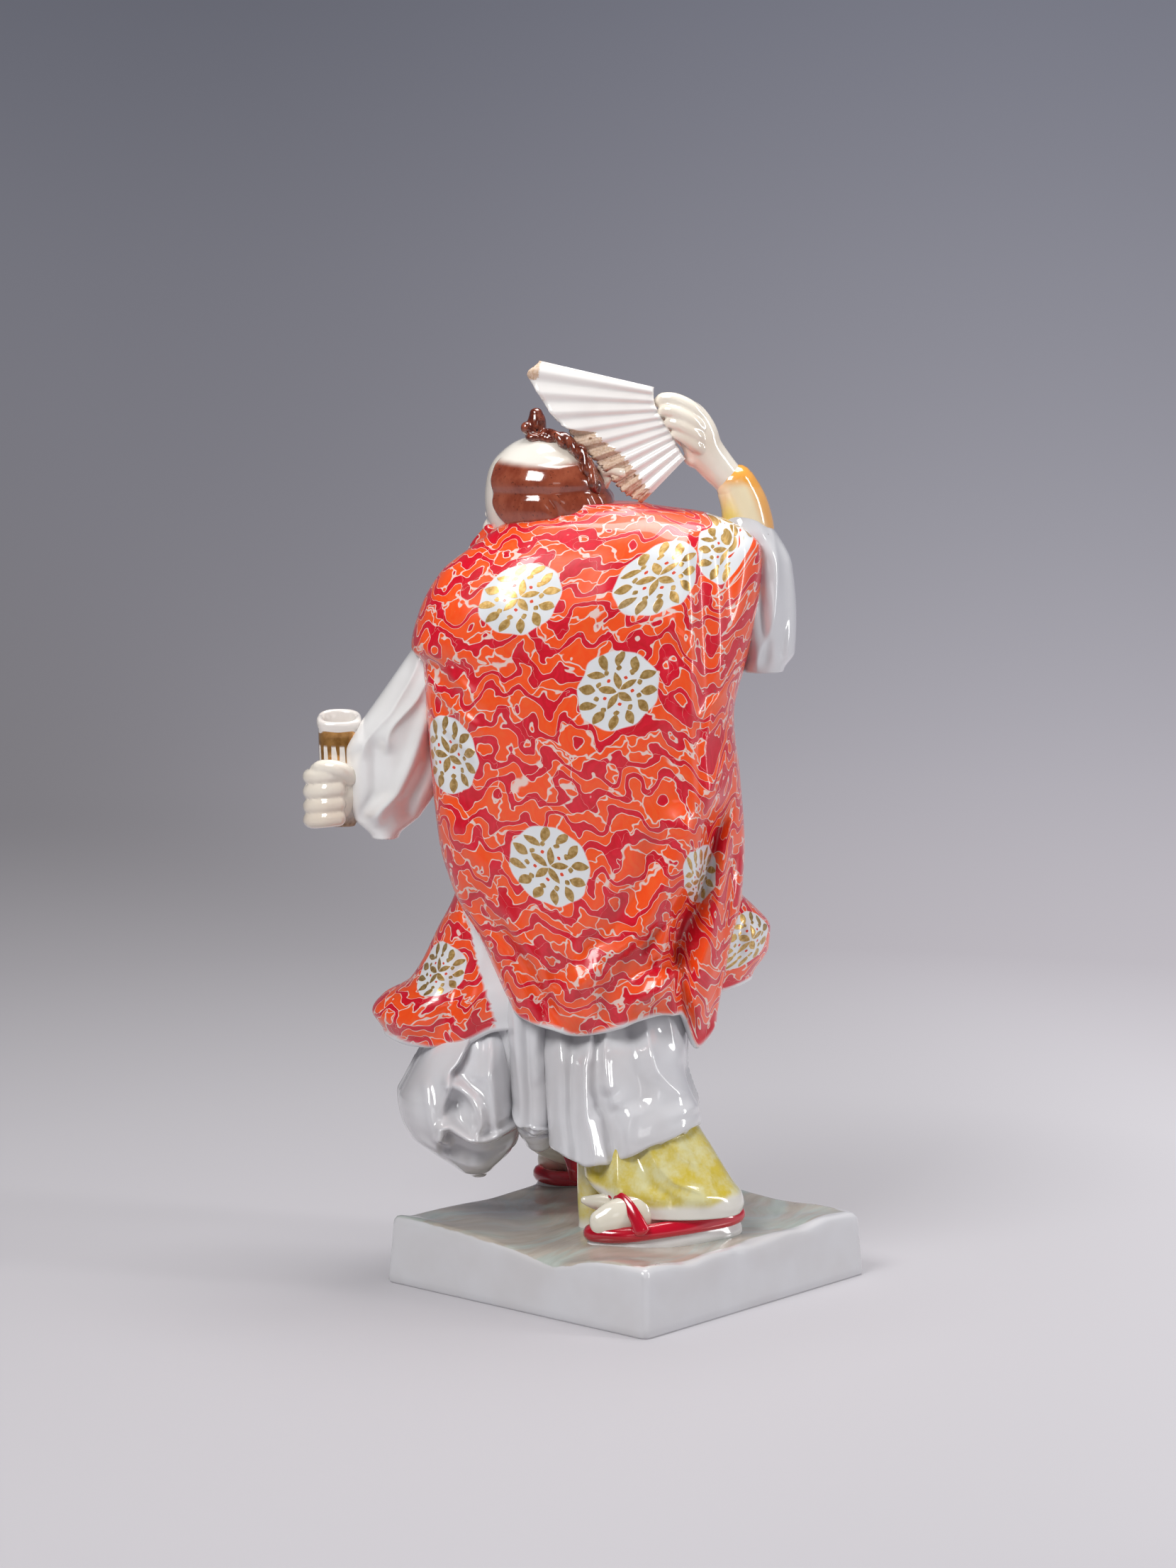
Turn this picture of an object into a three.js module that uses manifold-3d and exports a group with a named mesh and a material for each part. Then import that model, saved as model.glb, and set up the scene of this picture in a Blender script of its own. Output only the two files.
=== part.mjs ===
// Glazed porcelain figure of an actor in a loose mantle, holding up a broken fan,
// fired in one with its square plinth. Millimetres, +Z up, origin under the middle
// of the plinth. Hidden sides are plainer than the back, which the folds follow.
import * as THREE from 'three';
import { mergeVertices } from 'three/addons/utils/BufferGeometryUtils.js';
import Module from 'manifold-3d';

const wasm = await Module();
wasm.setup();

// Driving dimensions. The figure has a frame of its own: x to the bearer's right,
// y to the chest side, z up. It is turned on the plinth by FIGURE_TURN.
const PLINTH_SIDE = 110;
const PLINTH_HEIGHT = 20.5;
const PLINTH_FLARE = 1.2;
const PLINTH_CORNER = 2;
const FIGURE_TURN = THREE.MathUtils.degToRad(131.2);
const GLAZE_WHITE = 0xeceae6;

const MANTLE_TOP = 251;
const MANTLE_HEM = 87;
const MANTLE_AROUND = 50;
const MANTLE_LEVELS = 19;
const BACK_SHARE = 0.64;
const HEM_RIM = 4;
const HEM_RECESS = 5;

const HEAD_CENTRE = [-26.5, 5, 251];
const HEAD_SIZE = [17.6, 20, 19.8];
const FACE_TURN = [-0.66, 0.75];

const FAN_PIVOT = [34, 281.5];
const FAN_FIRST = 167;
const FAN_LAST = 226;
const FAN_THICK = 2.6;
const FAN_PLEATS = 14;
const FAN_PLEAT_DEPTH = 0.5;
const FAN_STEPS = 28;

const TUBE_HIGH = 182;
const TUBE_LOW = 146;
const TUBE_OUTER = [7.1, 6.2];
const TUBE_INNER = [5.1, 4.3];
const TUBE_CENTRE = [-92.2, 11];
const TUBE_HOLLOW = 16;

// Values at named stations, joined by a smooth curve
function curve(stations) {
  const points = [...stations].sort((a, b) => a[0] - b[0]);
  return (t) => {
    if (t <= points[0][0]) return points[0][1];
    const last = points.length - 1;
    if (t >= points[last][0]) return points[last][1];
    let i = 0;
    while (t > points[i + 1][0]) i += 1;
    const [t0, v0] = points[i];
    const [t1, v1] = points[i + 1];
    const slope = (k) => {
      if (k <= 0 || k >= last) return 0;
      const before = (points[k][1] - points[k - 1][1]) / (points[k][0] - points[k - 1][0]);
      const after = (points[k + 1][1] - points[k][1]) / (points[k + 1][0] - points[k][0]);
      return before * after <= 0 ? 0 : (2 * before * after) / (before + after);
    };
    const span = t1 - t0;
    const s = (t - t0) / span;
    const a = 2 * s ** 3 - 3 * s ** 2 + 1;
    const b = s ** 3 - 2 * s ** 2 + s;
    const c = -2 * s ** 3 + 3 * s ** 2;
    const d = s ** 3 - s ** 2;
    return a * v0 + b * span * slope(i) + c * v1 + d * span * slope(i + 1);
  };
}

function smoothstep(from, to, v) {
  return THREE.MathUtils.smoothstep(v, from, to);
}

function bell(offset, left, right) {
  const width = offset < 0 ? left : right;
  return Math.exp(-((offset / width) ** 2));
}

function rounded(v, power) {
  return Math.sign(v) * Math.abs(v) ** power;
}

// The angle at a share of the way round, with most of the points on the back
function backward(share) {
  return share < BACK_SHARE
    ? Math.PI * (1 + share / BACK_SHARE)
    : (Math.PI * (share - BACK_SHARE)) / (1 - BACK_SHARE);
}

// A closed skin through rings of points, with a point in the middle of each end
function skin(rings) {
  const count = rings[0].length;
  const positions = rings.flat(2);
  const middle = (ring) => {
    const sum = ring.reduce((s, p) => [s[0] + p[0], s[1] + p[1], s[2] + p[2]], [0, 0, 0]);
    return sum.map((v) => v / count);
  };
  const first = positions.length / 3;
  positions.push(...middle(rings[0]), ...middle(rings[rings.length - 1]));
  const index = [];
  for (let i = 0; i + 1 < rings.length; i += 1) {
    for (let j = 0; j < count; j += 1) {
      const a = i * count + j;
      const b = i * count + ((j + 1) % count);
      index.push(a, b, b + count, a, b + count, a + count);
    }
  }
  const top = (rings.length - 1) * count;
  for (let j = 0; j < count; j += 1) {
    const next = (j + 1) % count;
    index.push(first, next, j, first + 1, top + j, top + next);
  }
  const geometry = new THREE.BufferGeometry();
  geometry.setAttribute('position', new THREE.Float32BufferAttribute(positions, 3));
  geometry.setIndex(index);
  return solid(geometry);
}

function signedVolume(points, triangles) {
  let sum = 0;
  for (let i = 0; i < triangles.length; i += 3) {
    const [a, b, c] = [0, 1, 2].map((k) => {
      const v = triangles[i + k] * 3;
      return new THREE.Vector3(points[v], points[v + 1], points[v + 2]);
    });
    sum += a.dot(b.cross(c));
  }
  return sum;
}

// The geometry as a solid for joining and cutting, with its faces pointing out
function solid(geometry) {
  const bare = geometry.clone();
  bare.deleteAttribute('normal');
  bare.deleteAttribute('uv');
  const merged = mergeVertices(bare, 1e-5);
  const points = new Float32Array(merged.attributes.position.array);
  const triangles = Uint32Array.from(merged.index.array);
  if (signedVolume(points, triangles) < 0) {
    for (let i = 0; i < triangles.length; i += 3) {
      [triangles[i], triangles[i + 1]] = [triangles[i + 1], triangles[i]];
    }
  }
  return new wasm.Manifold(
    new wasm.Mesh({ numProp: 3, vertProperties: points, triVerts: triangles }),
  );
}

function ellipsoid(centre, size, turn = 0, across = 12, up = 8) {
  const ball = new THREE.SphereGeometry(1, across, up);
  ball.rotateX(Math.PI / 2);
  ball.scale(...size);
  ball.rotateZ(turn);
  ball.translate(...centre);
  return solid(ball);
}

// A limb, roll or strap: oval rings along a path of [x, y, z, half width, half depth]
function limb(stations, sides = 9, steps = 2) {
  const path = new THREE.CatmullRomCurve3(stations.map((s) => new THREE.Vector3(s[0], s[1], s[2])));
  const width = curve(stations.map((s, i) => [i / (stations.length - 1), s[3]]));
  const depth = curve(stations.map((s, i) => [i / (stations.length - 1), s[4] ?? s[3]]));
  const rings = [];
  const total = (stations.length - 1) * steps;
  for (let i = 0; i <= total; i += 1) {
    const t = i / total;
    const at = path.getPoint(t);
    const along = path.getTangent(t);
    const near = new THREE.Vector3(0, -1, 0);
    const side = new THREE.Vector3().crossVectors(along, near).normalize();
    const out = new THREE.Vector3().crossVectors(side, along).normalize();
    const round = Array.from({ length: sides }, (_, j) => {
      const a = (2 * Math.PI * j) / sides;
      const p = at.clone();
      p.addScaledVector(side, width(t) * Math.cos(a));
      p.addScaledVector(out, depth(t) * Math.sin(a));
      return p.toArray();
    });
    rings.push(round);
  }
  return skin(rings);
}

// A draped form between a low edge and a top: each level is a rounded box whose
// left, right, back and front reach come from curves over the height
function drape({ low, top, left, right, back, front, box, around, levels, folds, hem, rim }) {
  const rings = [];
  const ringAt = (z, shrink, lift, slope) => Array.from({ length: around }, (_, j) => {
    const a = backward(j / around);
    const middle = (left(z) + right(z)) / 2;
    const half = (right(z) - left(z)) / 2 - shrink;
    const x = middle + half * rounded(Math.cos(a), box(z));
    const sine = Math.sin(a);
    const depth = sine < 0 ? -back(z) : front(z);
    const centre = (front(z) - (-back(z))) / 2 - back(z);
    const reach = Math.abs(depth - centre) - shrink;
    const relief = folds(x, z) * Math.abs(sine) ** 0.4;
    const y = centre + reach * rounded(sine, box(z)) + (sine < 0 ? -relief : 0);
    return [x, y, z + hem(x) * slope + lift];
  });
  if (rim) {
    rings.push(ringAt(low, rim.width * 1.6, rim.rise, 1));
    rings.push(ringAt(low, rim.width, 0, 1));
  }
  for (let i = 0; i <= levels; i += 1) {
    const t = i / levels;
    rings.push(ringAt(low + (top - low) * t, 0, 0, (1 - t) ** 2));
  }
  return skin(rings);
}

// Folds of the mantle's back: a ridge above zero, a valley below, along a line of x over z
const BACK_FOLDS = [
  { line: curve([[240, 17.5], [214, 18.7], [180, 19.8], [150, 20.5], [131, 17], [117, 12], [100, 10]]),
    height: 3.2, left: 6, right: 2.6, from: 92, to: 244 },
  { line: curve([[232, 26], [207, 28.2], [180, 29.5]]), height: 2, left: 2.4, right: 2.4, from: 176, to: 238 },
  { line: curve([[150, 26], [131, 21.5], [117, 17], [100, 15]]),
    height: -6, left: 3.2, right: 4, from: 98, to: 156 },
  { line: curve([[130, 32], [95, 29]]), height: -4, left: 4, right: 3.6, from: 86, to: 136 },
  { line: curve([[150, 13], [123, 0], [104, -11]]), height: 2.2, left: 5, right: 4, from: 98, to: 158 },
  { line: curve([[206, -58], [160, -57]]), height: -2.6, left: 4, right: 5, from: 152, to: 204 },
  { line: curve([[122, -38], [88, -24]]), height: -2.4, left: 4.5, right: 4.5, from: 84, to: 126 },
  { line: curve([[110, -18], [86, -14]]), height: 1.8, left: 4, right: 4, from: 84, to: 116 },
  { line: curve([[104, -3], [86, -4]]), height: -1.6, left: 3.5, right: 3.5, from: 84, to: 110 },
];

function backFolds(x, z) {
  return BACK_FOLDS.reduce((sum, f) => {
    const reach = smoothstep(f.from, f.from + 12, z) * (1 - smoothstep(f.to - 14, f.to, z));
    return sum + f.height * reach * bell(x - f.line(z), f.left, f.right);
  }, 0);
}

const none = () => 0;

function mantle() {
  return drape({
    low: MANTLE_HEM,
    top: MANTLE_TOP,
    left: curve([[87, -38], [92, -40], [109, -47], [124, -55], [142, -60], [187, -64], [200, -65],
      [205, -68.5], [216, -66], [229, -59], [237, -49.5], [244, -40], [251, -24]]),
    right: curve([[87, 29], [100, 33], [116, 36.5], [136, 37.6], [161, 36], [181, 34], [207, 39.5],
      [230, 42.4], [237, 42], [242, 38], [248, 25], [251, 6]]),
    back: curve([[87, 25], [110, 27], [150, 30], [190, 33], [215, 32], [235, 26], [244, 20], [251, 13]]),
    front: curve([[87, 34], [150, 37], [190, 40], [215, 40], [235, 35], [244, 27], [251, 17]]),
    box: curve([[90, 0.52], [140, 0.62], [200, 0.72], [251, 0.8]]),
    around: MANTLE_AROUND,
    levels: MANTLE_LEVELS,
    folds: backFolds,
    hem: curve([[-40, 5], [-25, 0], [-5, -1], [12, 5], [17, 4], [23, -8], [29, -2], [34, 12]]),
    rim: { width: HEM_RIM, rise: HEM_RECESS },
  });
}

// Front panels of the mantle, flaring past the back panel on both sides
function frontPanels() {
  return drape({
    low: 80,
    top: 150,
    left: curve([[80, -79], [86, -82.5], [91, -79], [97, -70], [113, -61], [124, -55.5], [140, -52], [150, -50]]),
    right: curve([[80, 41], [96, 46], [106, 46.5], [115, 41.5], [122, 36.5], [150, 31]]),
    back: curve([[80, 8], [120, 12], [150, 14]]),
    front: curve([[80, 46], [110, 42], [150, 34]]),
    box: () => 0.86,
    around: 30,
    levels: 6,
    folds: none,
    hem: curve([[-82, -1], [-70, -2.5], [-56, -2], [-42, 4], [0, 8], [30, 15], [46, 17]]),
    rim: { width: 3, rise: 4 },
  });
}

// Edge bands of the open front, from the neck to the hem
function lapels() {
  const bearerLeft = limb([[-47, 18, 236, 3, 3], [-50, 33, 212, 4, 3], [-46, 37, 175, 4, 3], [-45, 37, 135, 4, 3],
    [-50, 44, 92, 4, 3]], 6);
  const bearerRight = limb([[-16, 28, 244, 3, 3], [-14, 40.5, 212, 4, 3], [-17, 41, 175, 4, 3], [-15, 38, 135, 4, 3],
    [-12, 47, 92, 4, 3]], 6);
  return [bearerLeft, bearerRight];
}

function trousers() {
  const seat = drape({
    low: 54,
    top: 104,
    left: curve([[54, -58], [66, -66], [80, -62], [104, -54]]),
    right: curve([[54, 24], [104, 24]]),
    back: curve([[54, 24], [70, 22], [104, 20]]),
    front: curve([[54, 34], [80, 40], [104, 38]]),
    box: () => 0.85,
    around: 30,
    levels: 3,
    folds: (x) => 1.6 * Math.cos(x / 3.1),
    hem: none,
  });
  const nearLeg = drape({
    low: 42,
    top: 78,
    left: curve([[42, -26], [78, -28]]),
    right: curve([[42, 22], [52, 24], [78, 24]]),
    back: curve([[42, 36], [60, 31], [78, 22]]),
    front: curve([[42, -2], [78, 10]]),
    box: () => 0.85,
    around: 28,
    levels: 3,
    folds: (x) => 1.5 * Math.cos((x + 3) / 2.6),
    hem: curve([[-26, 1], [-10, -1], [3, 2], [12, 8], [22, 12]]),
    rim: { width: 3, rise: 4 },
  });
  const puff = drape({
    low: 29,
    top: 80,
    left: curve([[29, -58], [34, -64], [42, -71.5], [52, -75.5], [63, -71], [80, -64]]),
    right: curve([[29, -46], [34, -41], [44, -34], [60, -30], [80, -30]]),
    back: curve([[29, 8], [40, 19], [60, 22], [80, 14]]),
    front: curve([[29, 14], [40, 30], [60, 36], [80, 34]]),
    box: () => 0.92,
    around: 22,
    levels: 6,
    folds: (x, z) => 2 * Math.cos((x + 53) / 4.2) * smoothstep(34, 50, z),
    hem: none,
  });
  const gather = limb([[-30, 0, 76, 12], [-30, 0, 62, 11], [-28.5, 2, 51, 8], [-27, 4, 43, 4]], 8);
  const farLeg = limb([[-18, 26, 84, 19, 17], [-14, 32, 62, 16, 15], [-12, 38, 46, 13, 13], [-10, 42, 38, 10, 10]]);
  return [seat, nearLeg, puff, gather, farLeg];
}

// The near legging hangs to the ground behind the foot, as a prop; the far one is short
function leggings() {
  const near = drape({
    low: 26,
    top: 58,
    left: curve([[26, -14], [58, -16]]),
    right: curve([[26, 36], [30, 37], [42, 30.5], [52, 23.5], [58, 20]]),
    back: curve([[26, 30], [34, 33], [58, 32]]),
    front: curve([[26, 2], [58, 2]]),
    box: () => 0.9,
    around: 24,
    levels: 3,
    folds: none,
    hem: none,
  });
  const prop = limb([[-9, -6, 56, 6, 6], [-10.5, -7, 38, 5, 5], [-11, -8, 19.5, 4.6, 4.4]], 10);
  const far = limb([[-10, 41, 44, 8.5], [-7, 44, 34, 8.5], [-4, 45, 25, 9.5, 8.5]]);
  return [near, prop, far];
}

// A foot in a split-toed sock on a thick sandal, from heel to toe
function foot(heel, toe, ground, rise) {
  const length = Math.hypot(toe[0] - heel[0], toe[1] - heel[1]);
  const turn = Math.atan2(toe[1] - heel[1], toe[0] - heel[0]);
  const middle = [(heel[0] + toe[0]) / 2, (heel[1] + toe[1]) / 2];
  const place = (along, aside, z) => [
    middle[0] + along * Math.cos(turn) - aside * Math.sin(turn),
    middle[1] + along * Math.sin(turn) + aside * Math.cos(turn),
    z,
  ];
  const outline = (grow) => (a) => {
    const along = Math.cos(a);
    const width = 9.6 + 1.6 * along - 1.2 * along * along;
    return [(length / 2 + grow) * along, (width + grow) * Math.sin(a)];
  };
  const slice = (z, grow) => Array.from({ length: 20 }, (_, j) => {
    const [along, aside] = outline(grow)((2 * Math.PI * j) / 20);
    return place(along, aside, z);
  });
  const sandal = skin([
    slice(ground - 1.5, -1.4), slice(ground + 2.8, -1.2), slice(ground + 3.4, 0.4),
    slice(ground + 7, 0.4), slice(ground + 7.8, -1.4),
  ]);
  const sock = limb([
    [...place(-length / 2 + 2.5, 0, ground + 9), 6, 5.5],
    [...place(-length / 4, 0, ground + 11), 8, 8],
    [...place(2, 0, ground + 9 + rise / 2), 8.2, 6.5],
    [...place(length / 2 - 9, 0, ground + 9), 8, 5],
    [...place(length / 2 - 3, 0, ground + 8), 6, 3.4],
  ]);
  return [sandal, sock];
}

function sleeves() {
  const left = drape({
    low: 143,
    top: 210,
    left: curve([[143, -82], [149, -87.5], [161, -90], [171, -90.5], [178, -86.5], [191, -77.5], [206, -67], [210, -64]]),
    right: curve([[143, -73], [150, -66], [160, -60], [175, -56], [210, -52]]),
    back: curve([[143, -2], [155, 2], [175, 4], [210, 4]]),
    front: curve([[143, 15], [155, 22], [175, 24], [210, 18]]),
    box: () => 1,
    around: 22,
    levels: 7,
    folds: (x, z) => 0.8 * Math.cos((x + 1.1 * z) / 3),
    hem: none,
  });
  const right = drape({
    low: 197,
    top: 251,
    left: curve([[197, 36], [215, 30], [235, 28], [251, 31]]),
    right: curve([[197, 50], [203, 53.5], [214, 54], [231, 52.5], [241, 47.5], [251, 39.5]]),
    back: curve([[197, 3], [215, 6], [240, 3], [251, 0]]),
    front: curve([[197, 15], [215, 22], [240, 20], [251, 13]]),
    box: () => 0.95,
    around: 18,
    levels: 6,
    folds: none,
    hem: none,
  });
  return [left, right];
}

function raisedArm() {
  const cuff = limb([[40, 8, 243, 6.8, 6.4], [36.6, 5.5, 251.5, 6.4, 6], [33.2, 3.5, 259.5, 5.6, 5.2]]);
  const wrist = limb([[33, 4, 257, 4.6, 4.2], [29, 1.5, 265.5, 4.2, 3.9], [25, -1, 272.5, 5.4, 3.9],
    [21.5, -2, 279, 6.2, 4], [18.5, -2, 284, 4.8, 3.6]]);
  const finger = (x, y, z, drop) => limb([
    [x + 4, y + 2, z - 3, 2], [x, y - 1.4, z + 0.4, 1.9], [x - 3.4, y - 2.6, z - 1.6, 1.7],
    [x - 4, y - 2.4, z - drop, 1.4],
  ], 6);
  return [
    cuff,
    wrist,
    finger(17.6, -3, 287.2, 6),
    finger(15.6, -3.4, 284.4, 6.5),
    finger(15, -3.6, 280.8, 6.5),
    finger(15.6, -3.4, 277.2, 6),
  ];
}

// The left fist closed round the tube, knuckles outwards
function fistWithTube() {
  const wrist = limb([[-82, 11, 161, 6, 6], [-87, 11, 160, 6.5, 6.5], [-91, 10, 159, 7.5, 7.5]]);
  const palm = ellipsoid([-94, 9.5, 157.5], [8.2, 9, 10.5]);
  const fingers = [164, 159, 154, 149.4].map((z) => limb([
    [-93, 2.6, z, 2.8], [-98.8, 3.8, z - 0.6, 3], [-100.6, 9.5, z - 1, 3], [-96.5, 14.5, z - 0.8, 2.6],
  ], 6));
  const oval = (reach, z, tilt) => Array.from({ length: 20 }, (_, j) => {
    const a = (2 * Math.PI * j) / 20;
    return [TUBE_CENTRE[0] + reach[0] * Math.cos(a), TUBE_CENTRE[1] + reach[1] * Math.sin(a),
      z + tilt * Math.sin(a)];
  });
  const wide = (grow) => [TUBE_OUTER[0] + grow, TUBE_OUTER[1] + grow];
  const outside = skin([oval(wide(-2), TUBE_LOW, 0), oval(wide(-1), TUBE_LOW + 6, 0),
    oval(wide(-0.5), TUBE_HIGH - 4, 0), oval(wide(0.1), TUBE_HIGH - 3, 1.4), oval(wide(0), TUBE_HIGH - 1, 1.8)]);
  const inside = skin([oval([TUBE_INNER[0] - 0.3, TUBE_INNER[1] - 0.3], TUBE_HIGH - TUBE_HOLLOW, 0),
    oval(TUBE_INNER, TUBE_HIGH + 4, 0)]);
  return { hand: [wrist, palm, ...fingers, outside], inside };
}

function head() {
  const [cx, cy, cz] = HEAD_CENTRE;
  const turn = Math.atan2(FACE_TURN[1], FACE_TURN[0]) - Math.PI / 2;
  const ahead = (reach, z) => [cx + FACE_TURN[0] * reach, cy + FACE_TURN[1] * reach, cz + z];
  const strand = limb([[-29, 1, 271.6, 2.4], [-21, -1.5, 271.8, 2.3], [-13, -4.5, 267.5, 2.4],
    [-9, -5, 261, 2.5], [-8, -4.5, 256, 1.8]], 6);
  return [
    ellipsoid(HEAD_CENTRE, HEAD_SIZE, turn, 16, 12),
    ellipsoid(ahead(7, -10), [14, 14, 13], turn),
    ellipsoid(ahead(20.5, -9), [3, 4.4, 4.6], turn, 8, 6),
    ellipsoid(ahead(16.5, -19.5), [7, 5, 4.5], turn, 8, 6),
    limb([[-27, 8, 246, 14, 14], [-22, 11, 238, 16, 15], [-18, 12, 230, 18, 16]]),
    ellipsoid([-29, 1.5, 275.4], [3.8, 3.6, 4.6]),
    strand,
    ellipsoid([-7.6, -1.5, 258.5], [2.8, 2.6, 4.2], 0, 8, 6),
  ];
}

// The pleated fan: what is left of it, with its lower outer part broken away.
// The break slants, so the far face reaches further out than the near one.
function fan() {
  const nearReach = curve([[167, 63], [171, 66], [174, 63.8], [179, 60], [183, 57.4], [187.5, 53],
    [190, 46], [195, 42.8], [204, 38.6], [213, 37.6], [226, 38]]);
  const farReach = curve([[167, 63], [171, 66], [174, 63.8], [179, 60], [183, 57.4], [187.5, 53.4],
    [193.5, 51.4], [199, 48.4], [206, 46], [218, 44.4], [226, 42.6]]);
  const plane = (x) => -6 - 0.06 * (4 - x);
  const point = (degrees, reach, face) => {
    const a = THREE.MathUtils.degToRad(degrees);
    const x = FAN_PIVOT[0] + reach * Math.cos(a);
    const z = FAN_PIVOT[1] + reach * Math.sin(a);
    const turn = ((degrees - FAN_FIRST) / (FAN_LAST - FAN_FIRST)) * FAN_PLEATS;
    const pleat = (Math.abs((turn % 1) - 0.5) * 4 - 1) * FAN_PLEAT_DEPTH * (reach / 60);
    return [x, plane(x) + pleat + (face * FAN_THICK) / 2, z];
  };
  const rings = [];
  for (let i = 0; i <= FAN_STEPS; i += 1) {
    const degrees = FAN_FIRST + ((FAN_LAST - FAN_FIRST) * i) / FAN_STEPS;
    rings.push([point(degrees, 12, -1), point(degrees, nearReach(degrees), -1),
      point(degrees, farReach(degrees), 1), point(degrees, 12, 1)]);
  }
  return skin(rings);
}

function plinth() {
  const around = 36;
  const wave = (x, y) => 0.9 * Math.sin(x / 13 + 0.6) * Math.cos(y / 17 - 0.4) + 0.5 * Math.sin((x - y) / 9);
  const ring = (half, z, uneven) => Array.from({ length: around }, (_, j) => {
    const a = (2 * Math.PI * (j + 0.5)) / around;
    const reach = half / Math.max(Math.abs(Math.cos(a)), Math.abs(Math.sin(a)));
    const limit = (half - PLINTH_CORNER * 0.29) * Math.SQRT2;
    const r = Math.min(reach, limit);
    const x = r * Math.cos(a);
    const y = r * Math.sin(a);
    return [x, y, z + uneven * wave(x, y)];
  });
  const half = PLINTH_SIDE / 2;
  const top = half - PLINTH_FLARE;
  return skin([
    ring(half - 0.8, 0, 0), ring(half, 0.8, 0), ring(top + 0.5, 7, 0), ring(top, PLINTH_HEIGHT - 3, 0.5),
    ring(top - 0.9, PLINTH_HEIGHT - 1, 0.9), ring(top - 3, PLINTH_HEIGHT, 1), ring(top * 0.7, PLINTH_HEIGHT, 1),
    ring(top * 0.35, PLINTH_HEIGHT, 1),
  ]);
}

// Turns the joined figure onto the plinth's axes
function turnedOntoPlinth(figure) {
  const mesh = figure.getMesh();
  const geometry = new THREE.BufferGeometry();
  geometry.setAttribute('position', new THREE.BufferAttribute(new Float32Array(mesh.vertProperties), 3));
  geometry.setIndex(new THREE.BufferAttribute(Uint32Array.from(mesh.triVerts), 1));
  geometry.rotateZ(FIGURE_TURN);
  return solid(geometry);
}

function joined(solids) {
  return solids.reduce((sum, piece) => sum.add(piece));
}

const { hand, inside } = fistWithTube();
const figure = joined([
  mantle(),
  frontPanels(),
  ...lapels(),
  ...trousers(),
  ...leggings(),
  ...foot([37, -24], [-13, -38], PLINTH_HEIGHT - 0.6, 8),
  ...foot([4, 44], [-30, 47.5], PLINTH_HEIGHT - 0.8, 8),
  ...sleeves(),
  ...raisedArm(),
  ...hand,
  ...head(),
  fan(),
]).subtract(inside);

const whole = turnedOntoPlinth(figure).add(plinth());
const wholeMesh = whole.getMesh();
const geometry = new THREE.BufferGeometry();
geometry.setAttribute('position', new THREE.BufferAttribute(new Float32Array(wholeMesh.vertProperties), 3));
geometry.setIndex(new THREE.BufferAttribute(Uint32Array.from(wholeMesh.triVerts), 1));
geometry.computeVertexNormals();

const part = new THREE.Group();
const porcelain = new THREE.MeshStandardMaterial({ color: GLAZE_WHITE, roughness: 0.12, metalness: 0 });
const actor = new THREE.Mesh(geometry, porcelain);
actor.name = 'actor_figurine';
part.add(actor);

export default part;
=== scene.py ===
import math

import bpy
import numpy as np
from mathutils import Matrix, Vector


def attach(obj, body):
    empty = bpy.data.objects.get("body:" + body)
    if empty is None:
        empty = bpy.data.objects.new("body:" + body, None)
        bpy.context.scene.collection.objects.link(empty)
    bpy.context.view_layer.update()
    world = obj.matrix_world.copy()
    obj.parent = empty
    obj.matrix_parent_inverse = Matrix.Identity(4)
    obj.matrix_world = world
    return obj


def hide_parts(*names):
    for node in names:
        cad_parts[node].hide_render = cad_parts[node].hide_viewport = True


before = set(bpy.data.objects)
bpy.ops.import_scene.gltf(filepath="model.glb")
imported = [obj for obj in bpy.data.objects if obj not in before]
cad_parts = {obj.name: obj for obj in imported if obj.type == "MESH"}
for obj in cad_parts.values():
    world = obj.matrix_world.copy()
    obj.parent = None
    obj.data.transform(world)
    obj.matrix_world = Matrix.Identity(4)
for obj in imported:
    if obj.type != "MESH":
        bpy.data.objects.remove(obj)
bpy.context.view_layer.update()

NODE = "actor_figurine"
MM = 0.001
FIGURE_TURN = math.radians(131.2)
PLINTH_HALF = 55.0
PLINTH_HIGH = 20.5
FAR_AWAY = 1e9
GRIDS = {}


# Curves and profiles

def curve(*stations):
    """A smooth curve through the stations, each a [place, value], without overshoot."""
    points = np.array(sorted(stations), float)
    at, value = points[:, 0], points[:, 1]
    slope = np.zeros(len(points))
    steps = np.diff(value) / np.diff(at)
    before, after = steps[:-1], steps[1:]
    same = before * after > 0
    slope[1:-1] = np.where(same, 2 * before * after / np.where(same, before + after, 1), 0)

    def read(t):
        t = np.clip(np.asarray(t, float), at[0], at[-1])
        i = np.clip(np.searchsorted(at, t, side="right") - 1, 0, len(at) - 2)
        span = at[i + 1] - at[i]
        s = (t - at[i]) / span
        start = (2 * s**3 - 3 * s**2 + 1) * value[i]
        leave = (s**3 - 2 * s**2 + s) * span * slope[i]
        end = (3 * s**2 - 2 * s**3) * value[i + 1]
        arrive = (s**3 - s**2) * span * slope[i + 1]
        return start + leave + end + arrive

    return read


def even(value):
    return lambda t: value + 0 * t


def smoothstep(low, high, v):
    s = np.clip((np.asarray(v, float) - low) / (high - low), 0, 1)
    return s * s * (3 - 2 * s)


def bell(offset, left, right=None):
    """A soft hump of height 1, with its own width on each side."""
    width = np.where(offset < 0, left, left if right is None else right)
    return np.exp(-((offset / width) ** 2))


def crest(offset, left, right, blunt=0.5):
    """A fold with a sharp, slightly blunted top."""
    width = np.where(offset < 0, left, right)
    return np.exp(-(np.sqrt(offset**2 + blunt**2) - blunt) / width)


def rounded(v, power):
    return np.sign(v) * np.abs(v) ** power


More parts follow.
